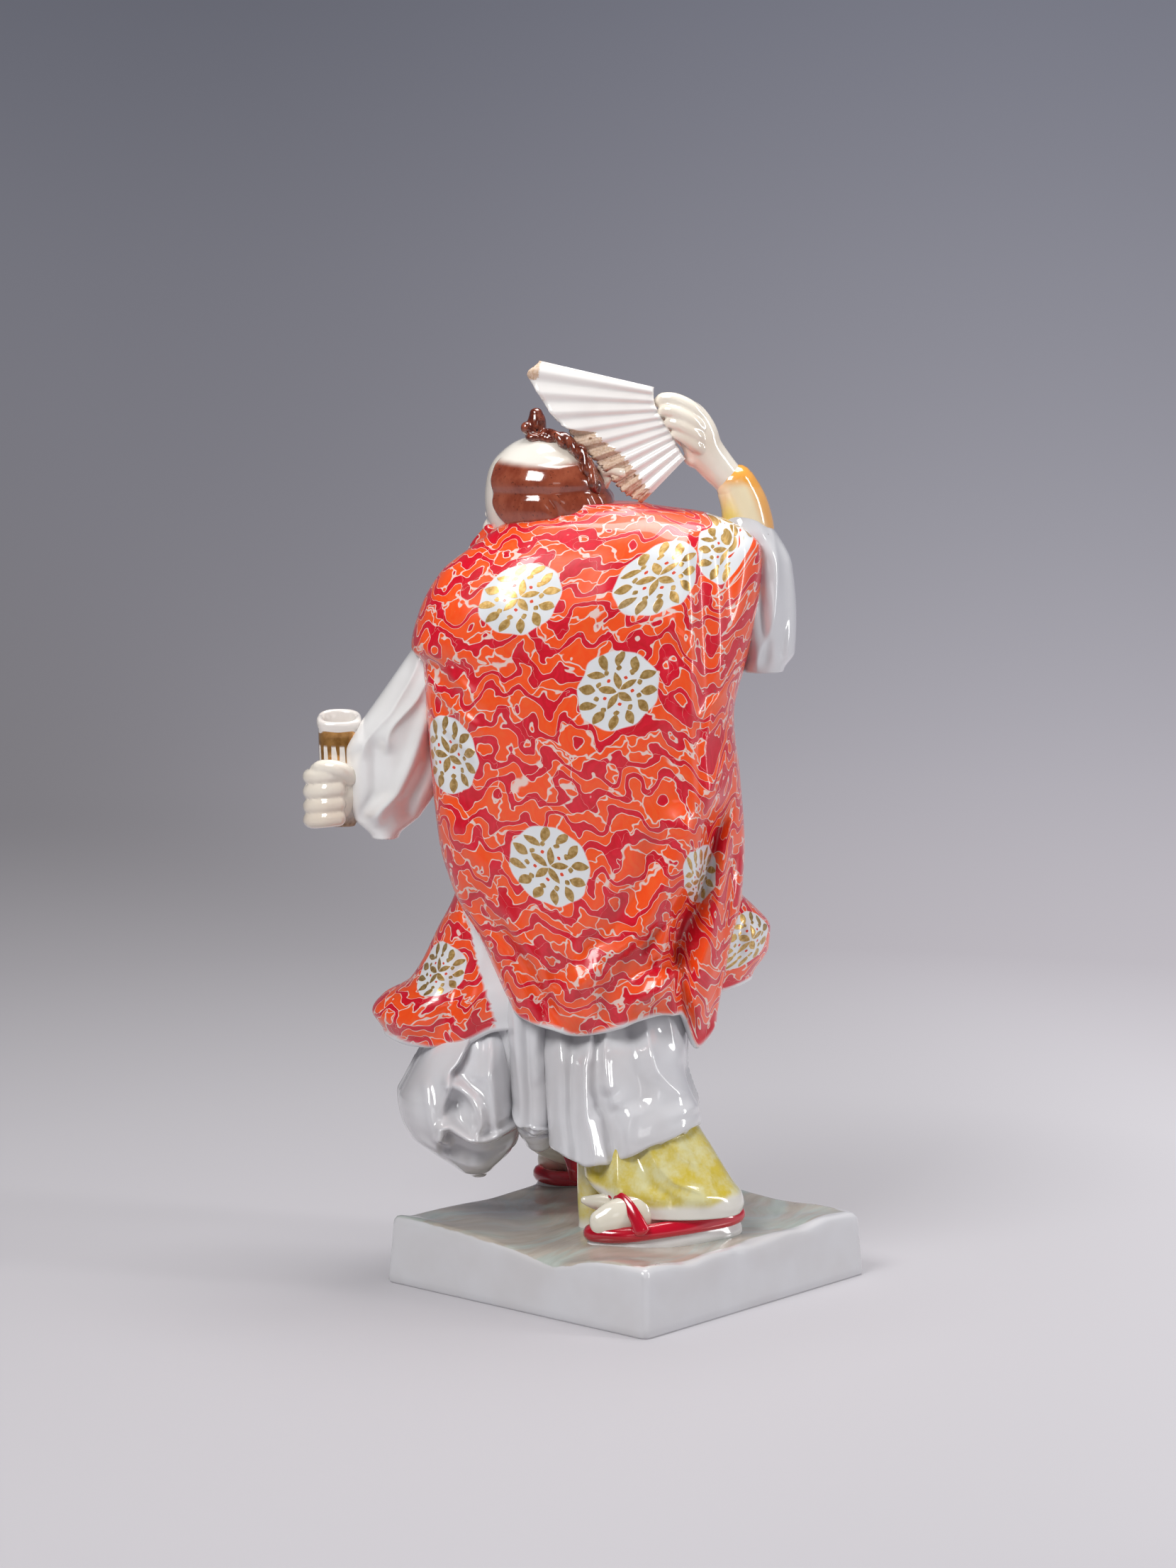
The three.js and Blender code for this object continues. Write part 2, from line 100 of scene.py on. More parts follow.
def lumps(a, b, size, seed):
    """Soft unevenness between -1 and 1, from crossing waves."""
    shift = np.random.default_rng(seed).uniform(0, 6.3, 6)
    first = np.sin(a / size + shift[0]) * np.cos(b / (1.3 * size) + shift[1])
    second = np.sin((a + 0.7 * b) / (0.62 * size) + shift[2]) * 0.6
    third = np.sin((0.6 * a - b) / (0.8 * size) + shift[3]) * 0.5
    fourth = np.sin((a - 1.9 * b) / (0.45 * size) + shift[4]) * 0.3
    return (first + second + third + fourth) / 2.4


def placed(points):
    x, y, z = points[..., 0], points[..., 1], points[..., 2]
    c, s = math.cos(FIGURE_TURN), math.sin(FIGURE_TURN)
    return np.stack([x * c - y * s, x * s + y * c, z], -1) * MM


# Making pieces

def deselect():
    for other in bpy.context.selected_objects:
        other.select_set(False)


def pick(*pieces):
    deselect()
    for piece in pieces:
        piece.select_set(True)
    bpy.context.view_layer.objects.active = pieces[0]


def coordinates(piece):
    flat = np.empty(len(piece.data.vertices) * 3, np.float32)
    piece.data.vertices.foreach_get("co", flat)
    return flat.reshape(-1, 3).astype(float)


def figure_places(piece):
    """A piece's points back in the figure's frame, in millimetres."""
    at = coordinates(piece) / MM
    c, s = math.cos(FIGURE_TURN), math.sin(FIGURE_TURN)
    return at[:, 0] * c + at[:, 1] * s, at[:, 1] * c - at[:, 0] * s, at[:, 2]


def move_points(piece, places):
    piece.data.vertices.foreach_set("co", places.astype(np.float32).ravel())
    piece.data.update()


def face_outwards(piece):
    at = coordinates(piece)
    piece.data.calc_loop_triangles()
    corners = np.empty(len(piece.data.loop_triangles) * 3, np.int32)
    piece.data.loop_triangles.foreach_get("vertices", corners)
    a, b, c = at[corners.reshape(-1, 3)].transpose(1, 0, 2)
    if np.einsum("ij,ij->i", a, np.cross(b, c)).sum() < 0:
        piece.data.flip_normals()


def skin(name, rings, row_frame=False):
    """A closed skin: a sphere whose own rings are drawn out to the given rings of points."""
    levels, around = rings.shape[:2]
    deselect()
    bpy.ops.mesh.primitive_uv_sphere_add(segments=around, ring_count=levels + 1, radius=1)
    piece = bpy.context.object
    piece.name = piece.data.name = name
    at = coordinates(piece)
    polar = np.arctan2(np.hypot(at[:, 0], at[:, 1]), at[:, 2])
    ring = np.rint((math.pi - polar) / math.pi * (levels + 1)).astype(int) - 1
    turn = np.rint(np.arctan2(at[:, 1], at[:, 0]) / (2 * math.pi) * around - around / 4).astype(int) % around
    places = rings[np.clip(ring, 0, levels - 1), turn]
    places[ring < 0] = rings[0].mean(0)
    places[ring >= levels] = rings[-1].mean(0)
    move_points(piece, places * MM if row_frame else placed(places))
    GRIDS[name] = (ring, turn, levels, around)
    face_outwards(piece)
    bpy.ops.object.shade_smooth()
    return piece


def over_grid(piece, values):
    """Values given per ring and turn, as one value for each of the skin's points."""
    ring, turn, levels, around = GRIDS[piece.name]
    spread = np.broadcast_to(values, (levels, around))
    return spread[np.clip(ring, 0, levels - 1), turn]


def ring_numbers(piece):
    ring, _, levels, _ = GRIDS[piece.name]
    return np.clip(ring, 0, levels - 1).astype(float)


def mark(piece, name, values):
    """A named value for each point, which the materials read."""
    layer = piece.data.attributes.new(name, "FLOAT", "POINT")
    layer.data.foreach_set("value", np.asarray(values, np.float32))


def corner_grid(piece):
    """For every face corner: its face, its ring, and its turn, past the last turn at the seam."""
    ring, turn, levels, around = GRIDS[piece.name]
    mesh = piece.data
    point = np.empty(len(mesh.loops), np.int32)
    mesh.loops.foreach_get("vertex_index", point)
    start = np.empty(len(mesh.polygons), np.int32)
    total = np.empty(len(mesh.polygons), np.int32)
    mesh.polygons.foreach_get("loop_start", start)
    mesh.polygons.foreach_get("loop_total", total)
    face = np.repeat(np.arange(len(start)), total)
    r, t = ring[point], turn[point]
    pole = (r < 0) | (r >= levels)
    low = np.minimum.reduceat(np.where(pole, around * 2, t), start)[face]
    high = np.maximum.reduceat(np.where(pole, -1, t), start)[face]
    seam = high - low > around / 2
    t = np.where(seam & (t < around / 2), t + around, t)
    t = np.where(pole, np.where(seam, around - 1, low), t)
    return face, start, np.clip(r, 0, levels - 1), t


def write_uv(piece, name, across, up):
    layer = piece.data.uv_layers.new(name=name)
    layer.data.foreach_set("uv", np.stack([across, up], -1).astype(np.float32).ravel())


def blurred(values, reach, axis):
    kernel = np.ones(2 * reach + 1) / (2 * reach + 1)
    mode = "wrap" if axis == 1 else "edge"
    pad = [(reach, reach) if k == axis else (0, 0) for k in range(2)]
    return np.apply_along_axis(lambda v: np.convolve(v, kernel, "valid"), axis, np.pad(values, pad, mode))


OUTSIDE_ROUNDEL = 9.0
ROUNDEL_MARGIN = 1.35


def cloth_map(piece, rings, middle, level, roundels, radius):
    """Two maps for painted cloth: millimetres along the cloth, and places within the nearest roundel."""
    closed = np.concatenate([rings, rings[:, :1]], 1)
    along = np.linalg.norm(np.diff(closed, axis=1), axis=2)
    across = np.concatenate([np.zeros((len(rings), 1)), np.cumsum(along, 1)], 1)
    across -= across[:, middle:middle + 1]
    across = blurred(across, 6, 0)
    rise = np.linalg.norm(np.diff(rings, axis=0), axis=2)
    up = np.concatenate([np.zeros((1, rings.shape[1])), np.cumsum(rise, 0)], 0)
    up -= up[level:level + 1]
    up = blurred(up, 10, 1)
    up = np.concatenate([up, up[:, :1]], 1)
    face, start, r, t = corner_grid(piece)
    s, h = across[r, t], up[r, t]
    write_uv(piece, "cloth", s, h)
    middle_s = (np.add.reduceat(s, start) / np.diff(np.append(start, len(s))))[face]
    middle_h = (np.add.reduceat(h, start) / np.diff(np.append(start, len(h))))[face]
    best = np.full(len(s), FAR_AWAY)
    u, v = np.full(len(s), OUTSIDE_ROUNDEL), np.full(len(s), OUTSIDE_ROUNDEL)
    for x, y, z, spin in roundels:
        gap = np.linalg.norm(rings - np.array([x, y, z], float), axis=2)
        i, j = np.unravel_index(np.argmin(gap), gap.shape)
        s0, h0 = across[i, j], up[i, j]
        distance = np.hypot(middle_s - s0, middle_h - h0)
        near = (distance < best) & (distance < ROUNDEL_MARGIN * radius)
        best = np.where(near, distance, best)
        c, d = math.cos(spin), math.sin(spin)
        u = np.where(near, ((s - s0) * c + (h - h0) * d) / radius, u)
        v = np.where(near, ((h - h0) * c - (s - s0) * d) / radius, v)
    write_uv(piece, "roundel", u, v)


def limb_rings(stations, around=24, steps=8):
    """Oval rings along a smooth path of [x, y, z, half width, half depth]."""
    path = np.array([list(s) + [s[3]] * (5 - len(s)) for s in stations], float)
    count = len(path)
    knots = np.array([2 * path[0] - path[1], *path, 2 * path[-1] - path[-2]])
    t = np.linspace(0, count - 1, (count - 1) * steps + 1)
    i = np.minimum(t.astype(int), count - 2)
    s = (t - i)[:, None]
    a, b, c, d = knots[i], knots[i + 1], knots[i + 2], knots[i + 3]
    at = 0.5 * (2 * b + (c - a) * s + (2 * a - 5 * b + 4 * c - d) * s**2
                + (3 * b - a - 3 * c + d) * s**3)
    along = np.gradient(at[:, :3], axis=0)
    along /= np.linalg.norm(along, axis=1, keepdims=True)
    side = np.cross(along, [0, -1, 0])
    side /= np.linalg.norm(side, axis=1, keepdims=True)
    out = np.cross(side, along)
    angle = np.linspace(0, 2 * math.pi, around, endpoint=False)
    wide = at[:, 3, None, None] * side[:, None] * np.cos(angle)[None, :, None]
    deep = at[:, 4, None, None] * out[:, None] * np.sin(angle)[None, :, None]
    return at[:, None, :3] + wide + deep


def limb(name, stations, around=24, steps=8):
    return skin(name, with_round_ends(limb_rings(stations, around, steps)))


def with_round_ends(rings, count=4):
    """Closes both ends of a limb with a rounded cap."""
    def cap(ring, inner):
        middle = ring.mean(0)
        reach = np.linalg.norm(ring - middle, axis=1).mean()
        away = middle - inner.mean(0)
        away /= np.linalg.norm(away)
        angles = [math.pi / 2 * (k + 1) / (count + 0.6) for k in range(count)]
        return [middle + (ring - middle) * math.cos(a) + away * reach * 0.8 * math.sin(a) for a in angles]

    low = cap(rings[0], rings[1])[::-1]
    high = cap(rings[-1], rings[-2])
    return np.concatenate([low, rings, high])


def ball(name, centre, size, turn=0.0, tilt=0.0, around=28, levels=18):
    """An oval body turned about the vertical, then tipped forwards."""
    up = np.linspace(-math.pi / 2, math.pi / 2, levels + 2)[1:-1][:, None]
    angle = np.linspace(0, 2 * math.pi, around, endpoint=False)[None]
    x = np.cos(up) * np.cos(angle) * size[0]
    y = np.cos(up) * np.sin(angle) * size[1]
    z = np.sin(up) * size[2] + 0 * angle
    y, z = y * math.cos(tilt) + z * math.sin(tilt), z * math.cos(tilt) - y * math.sin(tilt)
    c, s = math.cos(turn), math.sin(turn)
    rings = np.stack([x * c - y * s, x * s + y * c, z], -1) + np.array(centre, float)
    return skin(name, rings)


def fused(name, parts, voxel, smoothing=6):
    """Overlapping parts melted into one body, as modelled clay is."""
    pick(*parts)
    bpy.ops.object.join()
    body = bpy.context.object
    body.name = body.data.name = name
    remesh = body.modifiers.new("melt", "REMESH")
    remesh.mode = "VOXEL"
    remesh.voxel_size = voxel * MM
    bpy.ops.object.modifier_apply(modifier=remesh.name)
    smooth = body.modifiers.new("soften", "SMOOTH")
    smooth.factor = 0.5
    smooth.iterations = smoothing
    bpy.ops.object.modifier_apply(modifier=smooth.name)
    for layer in list(body.data.uv_layers):
        body.data.uv_layers.remove(layer)
    bpy.ops.object.shade_smooth()
    face_outwards(body)
    return body


BACK_SHARE = 0.62
LIP_STEPS = 5


def turns_of(around):
    """Angles round a draped form, closer together on the back."""
    share = np.arange(around) / around
    back = math.pi * (1 + share / BACK_SHARE)
    front = math.pi * (share - BACK_SHARE) / (1 - BACK_SHARE)
    return np.where(share < BACK_SHARE, back, front)


def drape_rings(low, top, left, right, back, front, box, around, levels, relief=None, hem=None, lip=None):
    """Rings of a draped form between a hem and a top. Each level is a rounded box whose reach on its
    four sides comes from curves over the height. relief(x, z, sine) pushes the skin out, with sine
    below 0 on the back, hem(x, sine) lifts the lower edge, and lip is a turned-in edge's depth, rise
    and thickness."""
    angle = turns_of(around)
    cosine, sine = np.cos(angle), np.sin(angle)

    def ring_at(z, shrink, lift, slope):
        middle, half = (left(z) + right(z)) / 2, (right(z) - left(z)) / 2
        power = box(z)
        plain_x = middle + half * rounded(cosine, power)
        drop = (hem(plain_x, sine) if hem else 0 * plain_x) * slope + lift
        centre, depth = (front(z) - back(z)) / 2, (front(z) + back(z)) / 2
        out = relief(plain_x, z + 0 * plain_x, sine) if relief else 0.0
        x = middle + (half - shrink) * rounded(cosine, power)
        y = centre + (depth - shrink) * rounded(sine, power)
        y = y + np.sign(sine) * out * np.abs(sine) ** 0.4
        return np.stack([x, y, z + drop], -1)

    rows = []
    if lip:
        inner, rise, thick = lip
        rows.append(ring_at(low, inner, rise, 1))
        rows.append(ring_at(low, thick * 1.15, rise * 0.35, 1))
        for a in np.linspace(0, math.pi, LIP_STEPS, endpoint=False):
            rows.append(ring_at(low, thick / 2 * (1 + math.cos(a)), -thick / 2 * math.sin(a), 1))
    for i in range(levels + 1):
        t = i / levels
        rows.append(ring_at(low + (top - low) * t, 0, 0, (1 - t) ** 2))
    return np.array(rows)


def fold(line, height, left, right, low, high, sharp=False):
    """A fold along a line of [z, x], with its height, its two widths and where it runs out."""
    return {"line": curve(*line), "height": height, "left": left, "right": right,
            "low": low, "high": high, "shape": crest if sharp else bell}


def on_line(line, x, z, width):
    """Is 1 on a drawn line and falls away beside it."""
    steps = np.linspace(0, len(line) - 1, len(line) * 3)
    across = curve(*[[k, point[0]] for k, point in enumerate(line)])(steps)
    up = curve(*[[k, point[1]] for k, point in enumerate(line)])(steps)
    nearest = np.full(np.broadcast(x, z).shape, FAR_AWAY)
    for k in range(len(steps) - 1):
        run, climb = across[k + 1] - across[k], up[k + 1] - up[k]
        share = ((x - across[k]) * run + (z - up[k]) * climb) / max(run * run + climb * climb, 1e-9)
        share = np.clip(share, 0, 1)
        nearest = np.minimum(nearest, np.hypot(x - across[k] - share * run, z - up[k] - share * climb))
    return np.exp(-((nearest / width) ** 2))


def folded(folds, x, z, fade=10):
    total = np.zeros(np.broadcast(x, z).shape)
    for f in folds:
        reach = smoothstep(f["low"], f["low"] + fade, z) * (1 - smoothstep(f["high"] - fade, f["high"], z))
        total += f["height"] * reach * f["shape"](x - f["line"](z), f["left"], f["right"])
    return total


# The mantle

ROUNDEL_RADIUS = 12.3
MANTLE_BOX = dict(
    low=87, top=251,
    left=curve([87, -38], [92, -40], [109, -47], [124, -55], [142, -60], [187, -64], [200, -65], [205, -68.5],
               [216, -66], [229, -59], [237, -49.5], [244, -40], [251, -24]),
    right=curve([87, 29], [100, 33], [116, 36.5], [136, 37.6], [161, 36], [181, 34], [207, 39.5], [230, 42.4],
                [237, 42], [242, 38], [248, 25], [251, 6]),
    back=curve([87, 25], [110, 27], [150, 30], [190, 33], [215, 32], [235, 26], [244, 20], [251, 13]),
    front=curve([87, 34], [150, 37], [190, 40], [210, 38], [225, 29], [235, 19], [244, 12], [251, 8]),
    box=curve([90, 0.52], [140, 0.62], [200, 0.72], [251, 0.8]),
)
RIDGE_LINE = [[241, 17.4], [214, 18.7], [163, 20.1], [150, 20.9], [140, 20.2], [131, 17], [117, 11.9],
              [100, 10]]
BACK_FOLDS = [
    fold(RIDGE_LINE, 1.3, 11, 12, 90, 248),
    fold(RIDGE_LINE, 0.9, 2.6, 2.4, 90, 246),
    fold([[240, 27], [221, 28.4], [207, 28.8], [178, 29.4], [156, 29.8]], 0.8, 2.4, 2.4, 150, 244),
    fold([[236, 22.6], [200, 24], [176, 25.6]], -0.35, 1.6, 1.6, 168, 240),
    fold([[190, 26], [176, 24.6], [160, 25.6], [150, 27]], 1.8, 2.0, 2.4, 148, 194),
    fold([[165, 27], [150, 26.5], [140, 25], [128, 20.8], [117, 17.2], [100, 14.5]], -6.2, 3.2, 4.4, 98,
         164),
    fold([[150, 34], [144, 31.5], [121, 27], [111, 23], [101, 21], [92, 22]], 2.4, 2.2, 4, 90, 152,
         sharp=True),
    fold([[138, 34.5], [112, 31.5], [90, 28]], -3.6, 3.4, 3.8, 84, 142),
    fold([[152, 17.5], [144, 16.6], [131, 11], [117, 4.5], [106, -10], [97, -16]], 2.5, 6, 3.2, 96, 160),
    fold([[140, 9], [122, -3], [104, -21]], -1.4, 6, 5, 96, 152),
    fold([[128, 18], [110, 6], [96, 3]], -1.6, 3, 3, 92, 134),
    fold([[206, -60], [185, -57.5], [160, -54]], -2.8, 4.2, 5.5, 148, 210),
    fold([[212, -66], [199, -56], [188, -47]], 1.1, 2, 3, 186, 214),
    fold([[200, -66], [190, -57], [178, -46]], 1.3, 2.4, 3, 176, 204),
    fold([[190, -66], [182, -58], [168, -47]], 1.0, 2.4, 3.4, 166, 196),
    fold([[176, -60], [150, -55], [130, -44]], 1.0, 3, 5, 128, 182),
    fold([[126, -48], [104, -33], [88, -24]], -2.3, 4, 4.5, 84, 132),
    fold([[124, -38], [104, -27], [88, -19]], 1.2, 3, 3.4, 84, 130),
    fold([[114, -17], [86, -14]], 2.0, 4, 3.6, 84, 120),
    fold([[108, -4], [86, -5]], -1.8, 3.6, 3.2, 84, 114),
    fold([[104, 5], [88, 2]], 1.5, 2.8, 3, 84, 112),
    fold([[200, 12.5], [178, 12.5]], 0.8, 2, 2.4, 174, 206),
    fold([[216, 13], [206, 20]], 0.7, 1.6, 1.6, 203, 220, sharp=True),
    fold([[196, 31], [186, 22]], 0.8, 1.6, 1.8, 182, 200, sharp=True),
    fold([[176, 33], [160, 23]], 0.9, 1.8, 2.2, 156, 180, sharp=True),
    fold([[244, -30], [226, -38], [206, -34]], 0.9, 6, 8, 204, 248),
    fold([[244, -4], [226, -6]], 0.6, 6, 8, 214, 250),
]
FRONT_FOLDS = [
    fold([[172, -40], [130, -38], [88, -42]], 1.8, 2.4, 3, 84, 180),
    fold([[196, -33], [140, -31], [88, -33]], -1.8, 2.6, 2.6, 84, 200),
    fold([[170, -25], [130, -26], [88, -24]], 1.9, 2.4, 3, 84, 180),
    fold([[150, -18], [88, -17]], -1.4, 2.2, 2.4, 84, 160),
    fold([[236, -52], [200, -55], [150, -52], [90, -48]], 1.6, 3, 4, 86, 240),
    fold([[230, -58], [170, -60]], -1.4, 3, 3, 160, 236),
    fold([[240, 2], [200, 4], [150, 2], [90, 4]], 2.0, 4, 5, 86, 244),
    fold([[240, 14], [200, 15], [150, 12], [90, 17]], -1.8, 4, 4, 86, 242),
    fold([[236, 26], [200, 26], [150, 23], [90, 26]], 1.8, 3.6, 4, 86, 240),
    fold([[180, -6], [90, -8]], -1.4, 3, 3, 86, 190),
]
OPENING_LEFT = curve([87, -49], [135, -45], [175, -46], [212, -49], [236, -46], [251, -34])
OPENING_RIGHT = curve([87, -12], [135, -15], [175, -17], [212, -14], [244, -15], [251, -18])


def mantle_relief(x, z, sine):
    """Folds of the back, the hem's curled lip, the deep fold by it, and a flat beside the ridge."""
    back = 1.4 * folded(BACK_FOLDS, x, z) + 0.5 * lumps(x, z, 11, 3) + 0.9 * lumps(x, z, 24, 17)
    lip = 5.0 * bell(x - 8.5, 7.5, 5) * bell(z - 94.5, 4.6)
    lip = lip - 4.6 * bell(z - 102.4, 1.4, 3.4) * bell(x - 10.5, 6.5, 5)
    valley = curve([172, 27], [150, 25.5], [140, 23.6], [128, 19.4], [117, 15.6], [104, 13], [88, 15])(z)
    recess = -8.0 * smoothstep(-0.5, 4.0, x - valley) * (1 - smoothstep(138, 172, z))
    recess = recess * (1 - 0.6 * smoothstep(10, 20, x - valley))
    middle = (MANTLE_BOX["left"](z) + MANTLE_BOX["right"](z)) / 2
    half = (MANTLE_BOX["right"](z) - MANTLE_BOX["left"](z)) / 2
    depth, power = (MANTLE_BOX["front"](z) + MANTLE_BOX["back"](z)) / 2, MANTLE_BOX["box"](z)

    def swell(at):
        share = np.clip(np.abs(at - middle) / half, 0, 1)
        return depth * np.clip(1 - share ** (2 / power), 0, 1) ** (power / 2)

    ridge = curve([251, 17], [241, 17.6], [214, 18.9], [163, 20.3], [150, 21.4], [140, 22.6], [120, 25])(z)
    facet = np.minimum(swell(ridge) + 0.5 - 0.62 * (x - ridge) - swell(x), 0) * (x > ridge)
    facet = facet * smoothstep(138, 154, z) * (1 - smoothstep(238, 249, z))
    facet = facet * (1 - 0.8 * smoothstep(31, 37, x))
    front = folded(FRONT_FOLDS, x, z) + 0.5 * lumps(x, z, 12, 8)
    inside = smoothstep(-1.5, 1.5, x - OPENING_LEFT(z)) * (1 - smoothstep(-1.5, 1.5, x - OPENING_RIGHT(z)))
    return np.where(sine < 0, back + lip + recess + facet, front - 2.6 * inside)


def mantle_hem(x, sine):
    back = curve([-40, 5], [-33, 2.4], [-25, 0], [-17, -1.6], [-5, -0.4], [4, 3.2], [12, 5], [17, 4],
                 [23, -8], [29, -2], [34, 12])(x)
    return np.where(sine < 0, back, 3)


def make_mantle():
    around = 330
    rings = drape_rings(
        **MANTLE_BOX, around=around, levels=210, relief=mantle_relief, hem=mantle_hem, lip=(9, 7, 2.2),
    )
    piece = skin("mantle", rings)
    x, y, z = figure_places(piece)
    middle = int(around * BACK_SHARE / 2)
    roundels = [(-33.5, -30, 224, 0.35), (9.4, -29, 230, 0.9), (-2.7, -33, 194.8, 0.5),
                (-24, -28, 139.5, 0.1), (23, -22, 134, 1.2), (-57.5, -22, 172.9, 0.7),
                (-53.5, -2, 236, 0.2), (33, -8, 245, 1.0), (37, 8, 186, 0.4), (36, 12, 118, 0.9),
                (22, 38, 214, 0.2), (6, 40, 160, 1.1), (-64, 8, 200, 0.4), (-58, 22, 128, 0.8),
                (18, 36, 112, 0.5), (28, 30, 168, 0.1)]
    cloth_map(piece, rings, middle, 90, roundels, ROUNDEL_RADIUS)
    painted = smoothstep(6.2, 8.2, ring_numbers(piece) + 1.2 * lumps(x, y, 3.5, 5))
    front = (y > 20) & (x > OPENING_LEFT(z)) & (x < OPENING_RIGHT(z))
    mark(piece, "paint", np.where(front, 0, painted))
    mark(piece, "lean", 0.9 * smoothstep(118, 96, z) * smoothstep(-12, 4, x))
    return piece


def make_front_panels():
    left = curve([80, -79], [86, -82.5], [91, -79], [97, -70], [113, -61], [124, -55.5], [140, -52],
                 [150, -50])
    right = curve([80, 41], [96, 46], [106, 46.5], [115, 41.5], [122, 36.5], [150, 31])
    folds = [
        fold([[128, -52], [113, -55], [97, -62], [84, -70]], 1.8, 3, 3.5, 76, 134),
        fold([[124, -49], [108, -51], [92, -56], [82, -60]], -2.2, 3, 3.4, 76, 130),
        fold([[110, -48], [82, -51]], 1.6, 3, 3, 76, 118),
        fold([[118, 41], [104, 40.5], [92, 40]], 1.5, 1.8, 2, 90, 120, sharp=True),
        fold([[112, 36.5], [96, 36]], -1.6, 2, 2, 90, 118),
    ]
    front_folds = [
        fold([[130, -58], [84, -70]], 1.6, 4, 4, 76, 136),
        fold([[120, 8], [80, 12]], 1.8, 5, 5, 76, 130),
        fold([[120, 22], [80, 27]], -2.0, 4, 4, 76, 130),
        fold([[120, 32], [80, 38]], 1.6, 4, 4, 76, 130),
    ]

    def relief(x, z, sine):
        inside = smoothstep(-1.5, 1.5, x + 49) * (1 - smoothstep(-1.5, 1.5, x + 12))
        front = folded(front_folds, x, z) - 4 * inside
        return np.where(sine < 0, folded(folds, x, z), front) + 0.35 * lumps(x, z, 8, 12)

    def hem(x, sine):
        return curve([-82, -1], [-70, -2.5], [-56, -2], [-42, 4], [0, 8], [30, 15], [46, 17])(x)

    around = 260
    rings = drape_rings(
        low=80, top=150, left=left, right=right, back=curve([80, 12], [96, 13], [120, 13], [150, 14]),
        front=curve([80, 46], [110, 42], [150, 34]), box=even(0.86), around=around, levels=90,
        relief=relief, hem=hem, lip=(7, 6, 2.4),
    )
    piece = skin("front_panels", rings)
    x, y, z = figure_places(piece)
    roundels = [(-66, -5, 103.3, 0.5), (41, -4, 111, 0.4), (-66, 25, 104, 0.2), (8, 45, 104, 0.9),
                (40, 30, 108, 0.3), (-20, 46, 96, 0)]
    cloth_map(piece, rings, int(around * BACK_SHARE / 2), 40, roundels, ROUNDEL_RADIUS * 0.82)
    painted = smoothstep(6.5, 8.5, ring_numbers(piece) + 1.6 * lumps(x, z, 4, 21))
    valley = curve([150, -62], [124, -53.5], [113, -49.5], [104, -47.5], [97, -45.5], [88, -42.5],
                   [80, -41])(z)
    bare = (y < 14) & (x > valley + 0.8 * lumps(z, x, 4, 4)) & (x < 30)
    front = (y > 18) & (x > -49) & (x < -12)
    mark(piece, "paint", np.where(bare | front, 0, painted))
    mark(piece, "lean", 0.5 + 0 * x)
    return piece


def make_lapels():
    """The mantle's turned edges, painted as the mantle is."""
    pieces = []
    tracks = {
        "lapel_left": [[-43, 2, 242, 2.4, 1.6], [-48, 11, 234, 3, 1.8], [-49, 23, 224, 3.4, 2],
                       [-49.5, 33.5, 210, 3.6, 2], [-46, 38.5, 175, 3.8, 2], [-45, 38, 135, 3.8, 2],
                       [-50, 44.5, 92, 4, 2.2], [-51, 45, 82, 4, 2]],
        "lapel_right": [[-11, 8.5, 249.5, 2.4, 1.6], [-9, 16, 240, 3, 1.8], [-11, 28, 226, 3.4, 2],
                        [-14, 38.5, 210, 3.6, 2], [-17, 41.5, 175, 3.8, 2], [-15, 39, 135, 3.8, 2],
                        [-12, 47.5, 92, 4, 2.2], [-11, 48, 82, 4, 2]],
    }
    for name, track in tracks.items():
        rings = with_round_ends(limb_rings(track, 28, 14))
        piece = skin(name, rings)
        cloth_map(piece, rings, 0, 30, [], ROUNDEL_RADIUS)
        mark(piece, "paint", np.ones(len(piece.data.vertices)))
        mark(piece, "lean", np.full(len(piece.data.vertices), 1.2))
        pieces.append(piece)
    return pieces


def make_robe():
    """What shows in the open front: crossed collars and a tied sash."""
    pieces = [
        limb("collar_under", [[-14, 2, 245, 3, 1.8], [-12, 10, 242, 3.6, 2], [-16, 21, 233, 4.2, 2.2],
                              [-25, 31, 219, 4.6, 2.4], [-34, 37, 203, 4.8, 2.4], [-40, 38, 182, 4.6, 2.4],
                              [-42, 38, 166, 4.4, 2.2]], 24, 14),
        limb("collar_over", [[-38, -1, 241, 3, 1.8], [-42, 8, 237, 3.6, 2], [-40, 19, 228, 4.2, 2.4],
                             [-33, 31, 216, 4.6, 2.6], [-26, 38.5, 200, 4.8, 2.6], [-21, 40, 180, 4.6, 2.4],
                             [-20, 40, 166, 4.4, 2.2]], 24, 14),
        limb("sash", [[-52, 30, 160, 8, 3], [-42, 38.5, 160, 9, 3.4], [-30, 41, 160, 9, 3.6],
                      [-18, 41, 161, 9, 3.4], [-8, 36, 162, 8, 3]], 36, 14),
        limb("sash_knot", [[-36, 44, 162, 3, 2], [-31, 46, 160, 5, 3.4], [-26, 44.6, 157, 3.4, 2.4]], 24,
             10),
        limb("sash_end", [[-31, 45, 157, 3.4, 1.8], [-32, 43.5, 145, 4.6, 1.8], [-34, 43, 126, 5.4, 1.8]],
             24, 12),
    ]
    return pieces


# Trousers and leggings

